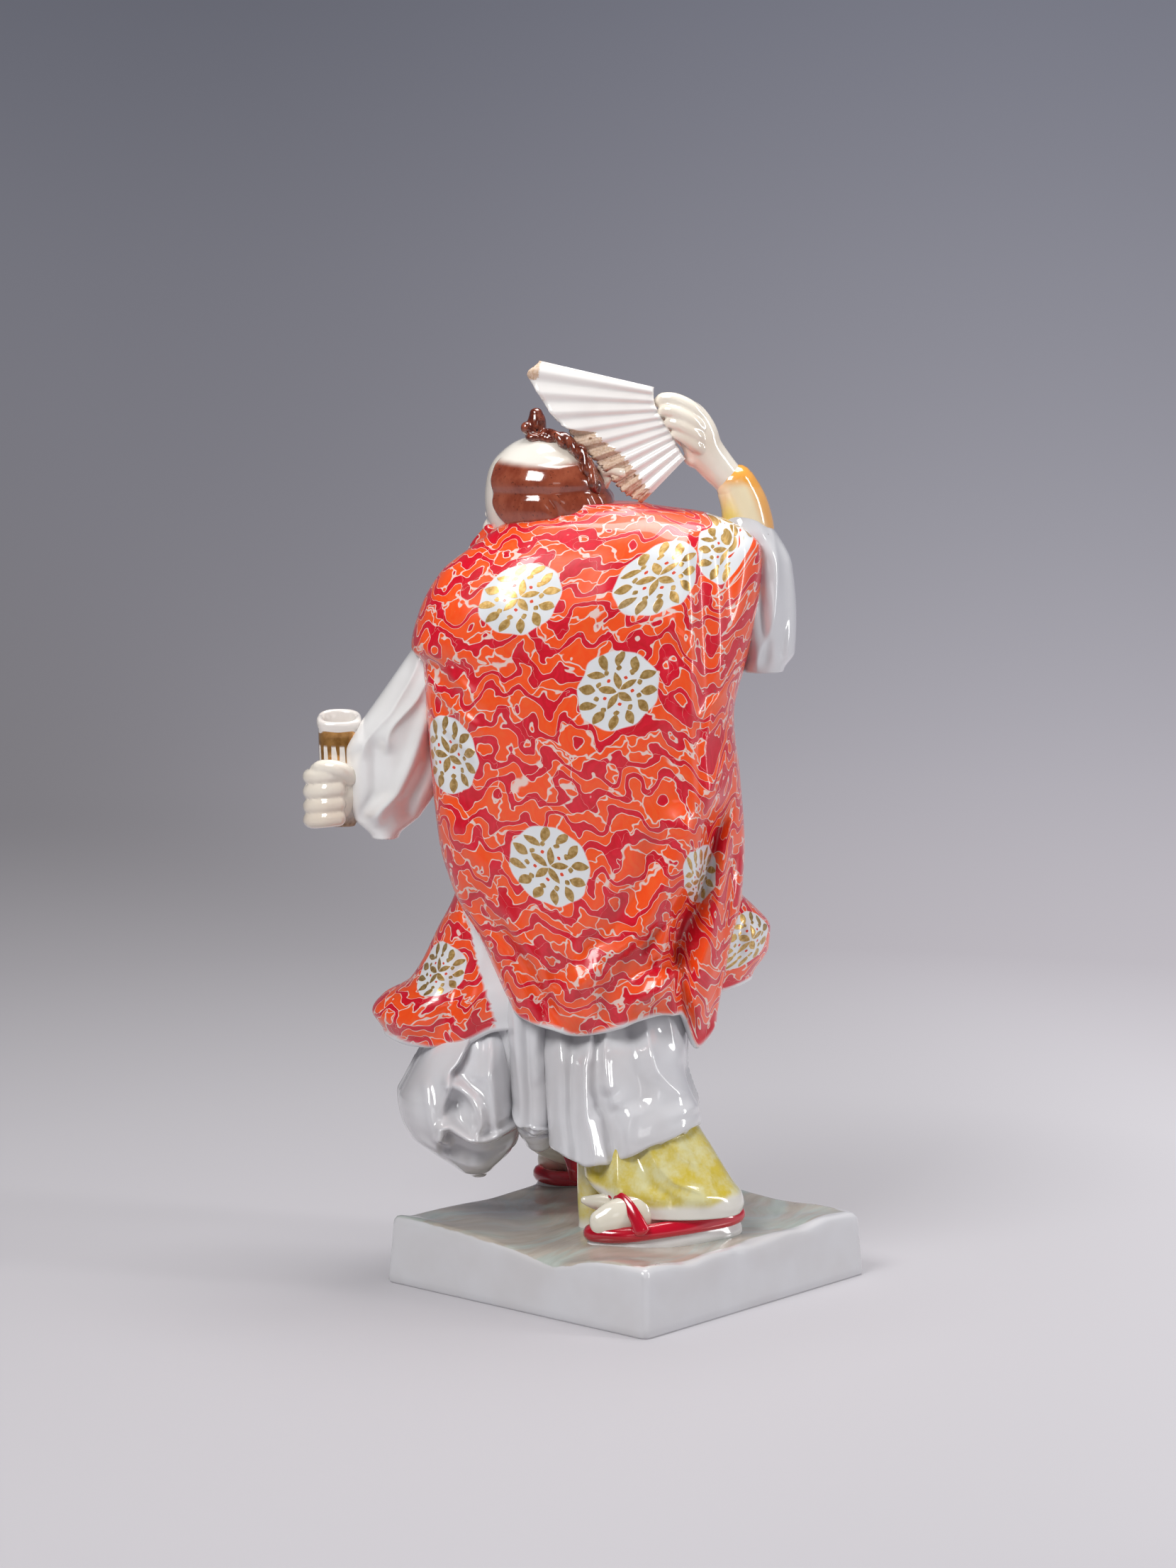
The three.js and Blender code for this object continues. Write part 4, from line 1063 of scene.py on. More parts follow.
def make_head():
    parts = [
        ball("skull", HEAD_CENTRE, [17.6, 20, 19.8], FACE_SPIN, 0, 64, 44),
        ball("face_mass", face_at(0, 7.2, -9), [13.6, 13.6, 13.6], FACE_SPIN, 0, 48, 32),
        ball("jaw", face_at(0, 9.5, -15), [10.6, 10.6, 8.4], FACE_SPIN, 0, 40, 26),
        ball("chin", face_at(0, 16.6, -21), [4.6, 4.2, 3.6], FACE_SPIN),
        limb("neck", [[-27, 8, 246, 13, 13], [-22, 11, 238, 13.4, 13], [-19, 11, 230, 15, 14]], 48, 10),
        limb("nose", [face_at(0, 18.6, -2.5) + [1.4], face_at(0, 20.8, -6.4) + [1.8],
                      face_at(0, 22.4, -9.6) + [2.3], face_at(0, 22.0, -11.2) + [2.0]], 24, 8),
        ball("nostril_left", face_at(-2.2, 20.4, -11.2), [1.6, 1.9, 1.4], FACE_SPIN),
        ball("nostril_right", face_at(2.2, 20.4, -11.2), [1.6, 1.9, 1.4], FACE_SPIN),
        limb("lip_upper", [face_at(-4.4, 18.9, -15.4) + [0.7], face_at(-1.6, 20.6, -15.0) + [1.1],
                           face_at(0, 20.7, -15.3) + [1.0], face_at(1.6, 20.6, -15.0) + [1.1],
                           face_at(4.4, 18.9, -15.4) + [0.7]], 20, 8),
        limb("lip_lower", [face_at(-3.6, 19.0, -16.9) + [0.7], face_at(0, 20.3, -17.3) + [1.25],
                           face_at(3.6, 19.0, -16.9) + [0.7]], 20, 10),
    ]
    for side in (-1, 1):
        parts.append(ball(f"cheek_{side}", face_at(7.4 * side, 13.4, -9.6), [5.4, 5, 5.6], FACE_SPIN))
        parts.append(limb(f"brow_{side}", [face_at(2.6 * side, 19.4, -1.2) + [1.0],
                                           face_at(6 * side, 18.6, -0.2) + [1.3],
                                           face_at(9.6 * side, 16.2, -0.8) + [1.0]], 16, 8))
        parts.append(ball(f"eyelid_{side}", face_at(6.0 * side, 17.4, -4.6), [3.4, 2.2, 1.9], FACE_SPIN))
        parts.append(limb(f"lid_edge_{side}", [face_at(3.1 * side, 18.5, -5.4) + [0.45],
                                               face_at(5.8 * side, 19.2, -5.9) + [0.55],
                                               face_at(8.8 * side, 17.0, -5.2) + [0.45]], 12, 8))
    piece = fused("head", parts, 0.5, 5)
    x, y, z = figure_places(piece)
    aside, reach, height = from_face(x, y, z)
    angle = np.degrees(np.arctan2(np.abs(aside), reach))
    level = z - HEAD_CENTRE[2]
    ragged = 0.8 * lumps(x, y, 3.2, 17)
    temple = curve([-14, 128], [-9, 112], [-6, 96], [-3.5, 86], [0, 78], [5, 75], [12, 70])(level)
    side = smoothstep(-2.5, 2.5, angle - temple + 2.0 * ragged)
    hairline = curve([60, 12.4], [100, 11.6], [150, 11.2], [180, 12.4])(angle) + 0.4 * ragged
    above = 1 - smoothstep(-1.6, 1.4, level - hairline)
    nape = smoothstep(-1.2, 0.6, level + 12.5 - 0.02 * angle)
    hair = side * above * nape
    groove = -0.9 * bell(level - 3.4 - 0.03 * (x + 26), 1.3)
    groove = groove + 0.8 * bell(level - 6.4, 2.6) + 0.7 * bell(level + 2, 4)
    right_lobe = 2.8 * bell(x + 8, 7) * bell(level - 0.5, 5.5) * (y < 8)
    away = np.stack([x, y, z], -1) - HEAD_CENTRE
    away /= np.maximum(np.linalg.norm(away, axis=1, keepdims=True), 1e-6)
    locks = -0.9 * bell(aside + 0.5 * level + 10, 1.3) - 0.9 * bell(aside + 0.45 * level - 2, 1.5)
    locks = locks - 0.7 * bell(aside + 0.5 * level - 12, 1.3)
    shoulder = 1.4 * bell(level - 12.5, 7) + 0.6 * smoothstep(14, 19, level)
    swell = hair * (0.8 + 0.8 * groove + locks * (1 - smoothstep(0, 5, level))) + right_lobe * hair + shoulder
    move_points(piece, placed(np.stack([x, y, z], -1) + away * swell[:, None]))
    mark(piece, "hair", hair)
    out = np.abs(aside)
    brow = bell(height + 0.4 + 0.03 * (out - 6) ** 2, 0.55) * smoothstep(2.6, 4, out)
    brow = brow * (1 - smoothstep(8.4, 10.4, out)) * (reach > 10)
    lash = bell(height + 5.75 - 0.06 * (out - 5.9) ** 2, 0.34) * smoothstep(2.8, 3.6, out)
    lash = lash * (1 - smoothstep(8.2, 9, out)) * (reach > 10)
    lips = bell(height + 16.1, 1.5) * (1 - smoothstep(3.2, 4.4, out)) * (reach > 17.6)
    blush = bell(out - 8, 4) * bell(height + 10, 4) * (reach > 6)
    mark(piece, "ink", np.clip(np.maximum(0.85 * brow, lash), 0, 1))
    mark(piece, "rouge", np.clip(0.9 * smoothstep(0.35, 0.7, lips) + 0.22 * blush, 0, 1))
    return piece


def make_hair_knot():
    parts = [
        limb("knob", [[-28.6, 2.6, 270, 3.4], [-28.9, 2, 273.4, 3.5], [-28.6, 1.6, 276.6, 3.0],
                      [-28.8, 1.4, 279.0, 2.1]], 28, 8),
        ball("knob_bead", [-31.8, 0.4, 274.4], [1.9, 1.9, 2.0]),
        ball("knob_foot", [-29.6, -1.4, 271.4], [2.4, 1.8, 1.4]),
    ]
    track = curve([0, -26.6], [1, -22.4], [2, -18.2], [3, -14.6], [4, -12.4], [5, -10.8], [6, -9.4])
    depth = curve([0, -0.6], [1, -3.2], [2, -5.2], [3, -7], [4, -8.6], [5, -8.8], [6, -8])
    rise = curve([0, 271.9], [1, 271.8], [2, 269.8], [3, 266.6], [4, 262.4], [5, 258], [6, 254.6])
    for strand in range(2):
        stations = []
        for k in range(25):
            t = k / 4
            twist = 2.6 * t + math.pi * strand
            thick = 1.45 + 0.28 * math.sin(5.1 * t + strand)
            stations.append([float(track(t)) + 0.9 * math.sin(twist) * 0.6,
                             float(depth(t)) - 0.5 + 0.8 * math.cos(twist),
                             float(rise(t)) + 0.95 * math.sin(twist),
                             thick * (1 - 0.4 * smoothstep(5, 6, t))])
        parts.append(limb(f"twist_{strand}", stations, 18, 4))
    for x, y, z, size in [(-24.6, -2.4, 271, 1.9), (-20.2, -4.6, 270.8, 2.0), (-16.6, -6.4, 268, 1.9),
                          (-13.2, -8.4, 264.4, 1.9)]:
        parts.append(ball(f"lump_{int(-x)}", [x, y, z], [size * 1.2, size, size * 0.95]))
    return fused("hair_knot", parts, 0.34, 3)


def make_ear():
    parts = [
        ball("ear_lobe", [-7.8, -2.6, 257.4], [2.4, 2.0, 2.7]),
        limb("ear_rim", [[-8.6, -3.6, 256.2, 1.2], [-6.2, -3.2, 258.2, 1.3], [-5.4, -2.6, 260.8, 1.2],
                         [-6.8, -3, 262.4, 1.1], [-8.8, -3.6, 262, 1.0]], 18, 8),
        limb("ear_bridge", [[-7.4, -3.4, 260.6, 1.5], [-4.4, -5, 261.2, 1.3], [-1.6, -6.4, 260.6, 1.6]], 18,
             8),
    ]
    return fused("ear", parts, 0.4, 4)


# The plinth, in the row frame

def square_round(half, corner, side_points=56, corner_points=8):
    """Points round a square with rounded corners, the same number at every size."""
    out = []
    flat = half - corner
    for quarter in range(4):
        c, s = math.cos(quarter * math.pi / 2), math.sin(quarter * math.pi / 2)
        for k in range(side_points):
            across = -flat + 2 * flat * (k + 0.5) / side_points
            out.append((half * c - across * s, half * s + across * c))
        for k in range(corner_points):
            a = math.pi / 2 * (k + 0.5) / corner_points
            u, v = flat + corner * math.cos(a), flat + corner * math.sin(a)
            out.append((u * c - v * s, u * s + v * c))
    return np.array(out)


def make_plinth():
    half, high = PLINTH_HALF, PLINTH_HIGH

    def ground(x, y):
        broad = 0.9 * np.sin(x / 13 + 0.6) * np.cos(y / 17 - 0.4) + 0.5 * np.sin((x - y) / 9)
        flow = x * 0.78 + y * 0.62 + 3.2 * np.sin(x / 17 - y / 23)
        ripples = 0.22 * np.sin(flow / 3.1) * (0.5 + 0.5 * lumps(x, y, 12, 7)) + 0.25 * lumps(x, y, 7, 19)
        dip = -1.9 * bell(y - 15, 14) * smoothstep(40, 55, x)
        bank = 1.1 * bell(x - 52, 4) * smoothstep(-20, -45, y) + 0.8 * bell(y - 52, 3) * lumps(x, y, 5, 23)
        notch = -0.9 * bell(x - 9, 2.2) * bell(y - 55, 3)
        return broad + ripples + dip + bank + notch

    profile = [(half - 3, 0.0, 0), (half - 1.0, 0.0, 0), (half - 0.35, 0.15, 0), (half, 0.8, 0),
               (half - 0.1, 3, 0), (half - 0.35, 6, 0), (half - 0.6, 9.5, 0.05), (half - 0.85, 13, 0.2),
               (half - 1.0, 16, 0.5), (half - 1.15, 18, 0.8), (half - 1.4, 19.2, 0.95),
               (half - 1.9, 20.0, 1), (half - 2.7, 20.4, 1), (half - 3.8, high, 1)]
    shelf, step = half - 3.8, 1.55
    profile += [(shelf - step * k, high, 1) for k in range(1, int((shelf - 1) / step) + 1)]
    rows = []
    for reach, z, uneven in profile:
        corner = min(2.4, reach * 0.6)
        xy = square_round(reach, corner)
        x, y = xy[:, 0], xy[:, 1]
        sway = 0.16 * lumps(x + y, np.full_like(x, z), 9, 4)
        sway = sway * smoothstep(0, 4, z) * (1 - smoothstep(18, 20.4, z))
        crease = -0.5 * bell(x - 9, 1.8) * (y > 50) * smoothstep(9, 18, z) * (1 - smoothstep(19, 20.5, z))
        scale = 1 + (sway + crease) / max(reach, 1)
        rows.append(np.stack([x * scale, y * scale, z + uneven * ground(x, y)], -1))
    piece = skin("plinth", np.array(rows), row_frame=True)
    at = coordinates(piece) / MM
    x, y, z = at.T
    edge = half - np.maximum(np.abs(x), np.abs(y))
    ragged = lumps(x, y, 5, 29)
    near_left = smoothstep(46, 53, x) * (1 - smoothstep(30, 52, y))
    right_rim = smoothstep(40, 52, y)
    start = 1.7 - 0.3 * near_left + 2.2 * right_rim * (0.7 + 0.5 * ragged) + 0.5 * ragged
    top = smoothstep(start, start + 1.2 + 2.2 * right_rim, edge) * (z > 15)
    mark(piece, "ground", np.clip(top, 0, 1))
    return piece


# Shader helpers

def wire(tree, socket, value):
    if isinstance(value, bpy.types.NodeSocket):
        tree.links.new(value, socket)
    else:
        socket.default_value = value


def node(tree, kind, inputs=(), **settings):
    made = tree.nodes.new(kind)
    for key, value in settings.items():
        setattr(made, key, value)
    for name, value in dict(inputs).items():
        wire(tree, made.inputs[name], value)
    return made


def maths(tree, operation, *values):
    made = tree.nodes.new("ShaderNodeMath")
    made.operation = operation
    for socket, value in zip(made.inputs, values):
        wire(tree, socket, value)
    return made.outputs[0]


def times(tree, first, second):
    return maths(tree, "MULTIPLY", first, second)


def plus(tree, first, second):
    return maths(tree, "ADD", first, second)


def minus(tree, first, second):
    return maths(tree, "SUBTRACT", first, second)


def vector(tree, operation, first, second=(0, 0, 0)):
    made = tree.nodes.new("ShaderNodeVectorMath")
    made.operation = operation
    wire(tree, made.inputs[0], first)
    wire(tree, made.inputs[1], second)
    return made.outputs["Value"] if operation in ("DOT_PRODUCT", "LENGTH") else made.outputs[0]


def blend(tree, share, first, second):
    made = tree.nodes.new("ShaderNodeMix")
    made.data_type = "RGBA"
    wire(tree, made.inputs[0], share)
    wire(tree, made.inputs[6], first)
    wire(tree, made.inputs[7], second)
    return made.outputs[2]


def rise(tree, value, low, high, start=0.0, end=1.0):
    return node(tree, "ShaderNodeMapRange",
                {"Value": value, "From Min": low, "From Max": high, "To Min": start, "To Max": end},
                interpolation_type="SMOOTHSTEP").outputs[0]


def noise(tree, at, scale, detail=2.0, roughness=0.5):
    return node(tree, "ShaderNodeTexNoise",
                {"Vector": at, "Scale": scale, "Detail": detail, "Roughness": roughness}).outputs["Fac"]


def drift(tree, at, scale, detail, reach):
    """A slow wandering of a pattern: a vector within half of reach either way."""
    field = node(tree, "ShaderNodeTexNoise", {"Vector": at, "Scale": scale, "Detail": detail})
    return vector(tree, "MULTIPLY", vector(tree, "SUBTRACT", field.outputs["Color"], (0.5, 0.5, 0.5)), reach)


def stretched(tree, at, scale, location=(0, 0, 0), turn=0.0):
    return node(tree, "ShaderNodeMapping", {"Vector": at, "Scale": scale, "Location": location,
                                            "Rotation": (0, 0, turn)}).outputs[0]


def object_place(tree):
    return node(tree, "ShaderNodeTexCoord").outputs["Object"]


def new_group(name, inputs, outputs):
    group = bpy.data.node_groups.new(name, "ShaderNodeTree")
    for label, kind, start in inputs:
        socket = group.interface.new_socket(name=label, in_out="INPUT", socket_type="NodeSocket" + kind)
        if start is not None:
            socket.default_value = start
    for label, kind in outputs:
        group.interface.new_socket(name=label, in_out="OUTPUT", socket_type="NodeSocket" + kind)
    inlet = group.nodes.new("NodeGroupInput")
    outlet = group.nodes.new("NodeGroupOutput")
    return group, inlet.outputs, outlet.inputs


def use_group(tree, group, inputs=()):
    made = tree.nodes.new("ShaderNodeGroup")
    made.node_tree = group
    for name, value in dict(inputs).items():
        wire(tree, made.inputs[name], value)
    return made.outputs


def sRGB(red, green, blue):
    def linear(v):
        v /= 255
        return v / 12.92 if v <= 0.04045 else ((v + 0.055) / 1.055) ** 2.4
    return (linear(red), linear(green), linear(blue), 1)


def glaze_skin_group():
    """The glaze itself: slow waves, fine orange peel, pinholes and a patchy tint."""
    group, given, result = new_group(
        "glaze_skin",
        [("Waves", "Float", 1.0), ("Peel", "Float", 1.0), ("Pinholes", "Float", 0.5)],
        [("Height", "Float"), ("Tint", "Float"), ("Pinhole", "Float"), ("Roughness", "Float")],
    )
    at = object_place(group)
    waves = times(group, noise(group, at, 95, 1.5), given["Waves"])
    peel = times(group, noise(group, at, 620, 1), times(group, given["Peel"], 0.035))
    cells = node(group, "ShaderNodeTexVoronoi", {"Vector": at, "Scale": 210, "Randomness": 1.0})
    near = maths(group, "LESS_THAN", cells.outputs["Distance"], 0.055)
    chosen = node(group, "ShaderNodeTexWhiteNoise", {"Vector": cells.outputs["Position"]},
                  noise_dimensions="3D").outputs["Value"]
    kept = maths(group, "LESS_THAN", chosen, times(group, given["Pinholes"], 0.06))
    wire(group, result["Height"], plus(group, waves, peel))
    wire(group, result["Tint"], noise(group, at, 34, 3))
    wire(group, result["Pinhole"], times(group, near, kept))
    wire(group, result["Roughness"], rise(group, noise(group, at, 150, 2), 0.3, 0.7, 0.9, 1.15))
    return group


def roundel_group():
    """A painted roundel on white: gold petals, red dots, gold dots and a rim of gold leaves."""
    group, given, result = new_group("leaf_roundel", [("Place", "Vector", None)],
                                     [("Disc", "Float"), ("Gold", "Float"), ("Red", "Float")])
    moved = vector(group, "ADD", given["Place"], drift(group, given["Place"], 2.4, 0.0, (0.08, 0.08, 0.0)))
    split = node(group, "ShaderNodeSeparateXYZ", {0: moved})
    u, v = split.outputs[0], split.outputs[1]
    radius = maths(group, "SQRT", plus(group, times(group, u, u), times(group, v, v)))
    angle = maths(group, "ARCTAN2", v, u)

    def petals(count, middle, reach, width, offset, vary):
        """A ring of petals, each a little out of place: half lengths and widths in roundel radii."""
        turn = plus(group, times(group, angle, count / (2 * math.pi)), offset)
        number = maths(group, "ROUND", turn)
        off = times(group, times(group, minus(group, turn, number), 2 * math.pi / count), radius)
        wild = node(group, "ShaderNodeTexWhiteNoise", {"W": maths(group, "WRAP", number, count, 0.0)},
                    noise_dimensions="1D").outputs["Value"]
        jitter = times(group, minus(group, wild, 0.5), vary)
        along = maths(group, "DIVIDE", minus(group, radius, plus(group, jitter, middle)), reach)
        lean = times(group, times(group, along, reach), times(group, jitter, 9.0))
        aside = maths(group, "DIVIDE", plus(group, off, lean), width)
        body = minus(group, 1.0, times(group, along, along))
        return rise(group, minus(group, body, maths(group, "ABSOLUTE", aside)), -0.04, 0.10)

    centre = petals(5, 0.27, 0.24, 0.1, 0.0, 0.03)
    ring_dots = petals(10, 0.56, 0.075, 0.075, 0.3, 0.05)
    rim_leaves = petals(12, 0.79, 0.22, 0.125, 0.1, 0.1)
    red_dots = petals(5, 0.36, 0.05, 0.05, 0.5, 0.03)
    gold = maths(group, "MAXIMUM", maths(group, "MAXIMUM", centre, ring_dots), rim_leaves)
    scallop = times(group, maths(group, "SINE", times(group, angle, 9.0)), 0.018)
    disc = rise(group, plus(group, radius, scallop), 1.045, 1.0)
    wire(group, result["Disc"], disc)
    wire(group, result["Gold"], times(group, gold, disc))
    wire(group, result["Red"], times(group, red_dots, disc))
    return group


PINHOLE_BROWN = (0.16, 0.12, 0.1, 1)
BAND_PITCH = 9.2
CRIMSON_SHARE = 0.43
GLAZE = glaze_skin_group()
ROUNDEL = roundel_group()


def new_material(name):
    material = bpy.data.materials.new(name)
    material.use_nodes = True
    tree = material.node_tree
    tree.nodes.clear()
    out = tree.nodes.new("ShaderNodeOutputMaterial")
    shader = tree.nodes.new("ShaderNodeBsdfPrincipled")
    tree.links.new(shader.outputs[0], out.inputs[0])
    return material, tree, shader


def attribute(tree, name):
    return node(tree, "ShaderNodeAttribute", attribute_name=name).outputs["Fac"]


def finish_glaze(tree, shader, colour, surface, roughness=0.16, bump=0.0004, extra_height=None, coat=1.0,
                 ior=1.5):
    """The common finish. roughness is a share of the glaze's own, or the whole of it as a socket."""
    height = surface["Height"]
    if extra_height is not None:
        height = plus(tree, height, extra_height)
    if not isinstance(roughness, bpy.types.NodeSocket):
        roughness = times(tree, surface["Roughness"], roughness)
    wire(tree, shader.inputs["Base Color"], blend(tree, surface["Pinhole"], colour, PINHOLE_BROWN))
    wire(tree, shader.inputs["Roughness"], roughness)
    wire(tree, shader.inputs["Coat Weight"], coat)
    shader.inputs["Coat Roughness"].default_value = 0.03
    shader.inputs["IOR"].default_value = ior
    relief = node(tree, "ShaderNodeBump", {"Height": height, "Distance": bump, "Strength": 0.6})
    wire(tree, shader.inputs["Normal"], relief.outputs[0])


def white_glaze(name, tone, shade, roughness=0.13, pinholes=0.5):
    material, tree, shader = new_material(name)
    surface = use_group(tree, GLAZE, {"Waves": 0.8, "Peel": 0.6, "Pinholes": pinholes})
    colour = blend(tree, rise(tree, surface["Tint"], 0.35, 0.7), tone, shade)
    finish_glaze(tree, shader, colour, surface, roughness)
    return material


def enamel_bands(tree, cloth, lean):
    """Bands of crimson and orange that wander over the cloth, with white between them: how much
    enamel lies on each place, and whether it is the orange."""
    def wandering(across, up, amount, place):
        at = stretched(tree, cloth, (1 / across, 1 / up, 1), place)
        return drift(tree, at, 1.0, 0.0, (amount, amount, 0))

    scallops = wandering(2.3, 2.3, 3.2, (3, 7, 0))
    at = vector(tree, "ADD", vector(tree, "ADD", cloth, wandering(6.4, 8.2, 21.0, (1, 2, 0))), scallops)
    height = node(tree, "ShaderNodeSeparateXYZ", {0: at}).outputs[1]
    band = maths(tree, "FRACT", maths(tree, "DIVIDE", height, BAND_PITCH))
    ends = maths(tree, "MINIMUM", band, minus(tree, 1.0, band))
    border = maths(tree, "MINIMUM", ends, maths(tree, "ABSOLUTE", minus(tree, band, CRIMSON_SHARE)))
    thin = plus(tree, times(tree, lean, 0.012), 0.014)
    edge = rise(tree, border, thin, plus(tree, thin, 0.016))
    orange_side = maths(tree, "GREATER_THAN", band, CRIMSON_SHARE)
    patches = stretched(tree, vector(tree, "ADD", cloth, scallops), (1 / 14, 1 / 12, 1), (9, 3, 0))
    cells = node(tree, "ShaderNodeTexVoronoi", {"Vector": patches, "Scale": 1.0}, feature="DISTANCE_TO_EDGE")
    cut_far = plus(tree, times(tree, orange_side, 0.022), 0.002)
    cut = rise(tree, cells.outputs["Distance"], times(tree, cut_far, 0.4), cut_far)
    return at, times(tree, edge, cut), orange_side


def painted_mantle():
    material, tree, shader = new_material("painted_mantle")
    cloth = node(tree, "ShaderNodeUVMap", uv_map="cloth").outputs[0]
    at, enamel, orange_side = enamel_bands(tree, cloth, attribute(tree, "lean"))
    surface = use_group(tree, GLAZE, {"Waves": 0.8, "Peel": 1.0, "Pinholes": 0.2})
    mottle = rise(tree, noise(tree, stretched(tree, at, (0.35, 0.35, 1)), 1.0, 3.0), 0.3, 0.75)
    orange = blend(tree, mottle, sRGB(252, 76, 4), sRGB(248, 92, 28))
    crimson = blend(tree, mottle, sRGB(206, 0, 28), sRGB(224, 4, 44))
    paint = blend(tree, orange_side, crimson, orange)
    paint = blend(tree, enamel, sRGB(236, 206, 196), paint)
    painted = attribute(tree, "paint")
    paint = blend(tree, painted, sRGB(226, 226, 228), paint)
    place = node(tree, "ShaderNodeUVMap", uv_map="roundel").outputs[0]
    roundel = use_group(tree, ROUNDEL, {"Place": place})
    disc, gold, red = [times(tree, roundel[part], painted) for part in ("Disc", "Gold", "Red")]
    paint = blend(tree, disc, paint, sRGB(228, 230, 232))
    paint = blend(tree, red, paint, sRGB(222, 70, 34))
    brushed = rise(tree, noise(tree, stretched(tree, place, (9, 9, 1)), 1.0, 2.0), 0.3, 0.7)
    gilding = blend(tree, brushed, sRGB(222, 186, 120), sRGB(184, 142, 72))
    paint = blend(tree, gold, paint, gilding)
    wire(tree, shader.inputs["Metallic"], times(tree, gold, 0.7))
    rough = plus(tree, times(tree, surface["Roughness"], 0.36), times(tree, gold, 0.04))
    around_discs = times(tree, enamel, minus(tree, 1.0, disc))
    thick = times(tree, maths(tree, "MAXIMUM", around_discs, gold), times(tree, painted, 0.16))
    finish_glaze(tree, shader, paint, surface, rough, 0.0005, thick, coat=0.7, ior=1.52)
    return material


def hair_and_skin():
    material, tree, shader = new_material("painted_head")
    surface = use_group(tree, GLAZE, {"Waves": 0.8, "Peel": 0.6, "Pinholes": 0.4})
    at = object_place(tree)
    skin_tone = blend(tree, rise(tree, surface["Tint"], 0.35, 0.7), sRGB(240, 234, 224), sRGB(230, 220, 206))
    strokes = noise(tree, stretched(tree, at, (190, 190, 120)), 1.0, 3.0, 0.6)
    brown = blend(tree, rise(tree, strokes, 0.25, 0.75), sRGB(122, 50, 30), sRGB(156, 82, 58))
    specks = rise(tree, noise(tree, at, 1100, 2), 0.63, 0.72)
    brown = blend(tree, times(tree, specks, 0.7), brown, sRGB(66, 26, 18))
    colour = blend(tree, attribute(tree, "hair"), skin_tone, brown)
    colour = blend(tree, attribute(tree, "rouge"), colour, sRGB(206, 96, 82))
    colour = blend(tree, attribute(tree, "ink"), colour, sRGB(62, 34, 26))
    finish_glaze(tree, shader, colour, surface, 0.14)
    return material


def brown_glaze():
    material, tree, shader = new_material("brown_glaze")
    surface = use_group(tree, GLAZE, {"Waves": 1.2, "Peel": 0.8, "Pinholes": 0.4})
    at = object_place(tree)
    thin = rise(tree, noise(tree, at, 330, 3, 0.6), 0.35, 0.72)
    colour = blend(tree, thin, sRGB(84, 30, 18), sRGB(150, 78, 56))
    specks = rise(tree, noise(tree, at, 900, 2), 0.63, 0.70)
    colour = blend(tree, specks, colour, sRGB(48, 18, 12))
    finish_glaze(tree, shader, colour, surface, 0.14)
    return material


def yellow_glaze():
    material, tree, shader = new_material("yellow_glaze")
    surface = use_group(tree, GLAZE, {"Waves": 0.5, "Peel": 0.6, "Pinholes": 0.3})
    at = object_place(tree)
    pooled = rise(tree, noise(tree, at, 130, 4, 0.62), 0.34, 0.66)
    colour = blend(tree, pooled, sRGB(208, 186, 70), sRGB(214, 208, 158))
    streaks = rise(tree, noise(tree, stretched(tree, at, (300, 300, 110)), 1.0, 3, 0.6), 0.5, 0.8)
    colour = blend(tree, times(tree, streaks, 0.6), colour, sRGB(196, 172, 40))
    colour = blend(tree, attribute(tree, "yellow"), sRGB(226, 222, 212), colour)
    finish_glaze(tree, shader, colour, surface, 0.14)
    return material


def cuff_glaze():
    material, tree, shader = new_material("cuff_glaze")
    surface = use_group(tree, GLAZE, {"Waves": 0.8, "Peel": 0.6, "Pinholes": 0.2})
    colour = blend(tree, attribute(tree, "orange"), sRGB(247, 232, 196), sRGB(240, 168, 74))
    colour = blend(tree, attribute(tree, "yellow"), colour, sRGB(238, 206, 84))
    finish_glaze(tree, shader, colour, surface, 0.14)
    return material


def red_enamel():
    material, tree, shader = new_material("red_enamel")
    surface = use_group(tree, GLAZE, {"Waves": 1.0, "Peel": 1.2, "Pinholes": 0.2})
    colour = blend(tree, rise(tree, surface["Tint"], 0.3, 0.7), sRGB(176, 2, 32), sRGB(202, 16, 44))
    finish_glaze(tree, shader, colour, surface, 0.2)
    return material


def fan_glaze():
    material, tree, shader = new_material("fan_glaze")
    surface = use_group(tree, GLAZE, {"Waves": 0.4, "Peel": 0.5, "Pinholes": 0.5})
    at = object_place(tree)
    white = blend(tree, rise(tree, surface["Tint"], 0.4, 0.7), sRGB(246, 242, 238), sRGB(238, 232, 228))
    grit = noise(tree, at, 1500, 4, 0.65)
    rough_body = blend(tree, rise(tree, grit, 0.35, 0.7), sRGB(228, 204, 184), sRGB(206, 172, 140))
    dark = rise(tree, noise(tree, at, 700, 2), 0.66, 0.72)
    rough_body = blend(tree, dark, rough_body, sRGB(150, 112, 84))
    worn = attribute(tree, "worn")
    torn = rise(tree, plus(tree, worn, times(tree, minus(tree, grit, 0.5), 0.5)), 0.35, 0.6)
    colour = blend(tree, torn, white, rough_body)
    rough = plus(tree, 0.16, times(tree, torn, 0.6))
    broken = times(tree, times(tree, grit, torn), 0.6)
    finish_glaze(tree, shader, colour, surface, rough, extra_height=broken, coat=minus(tree, 1.0, torn))
    return material


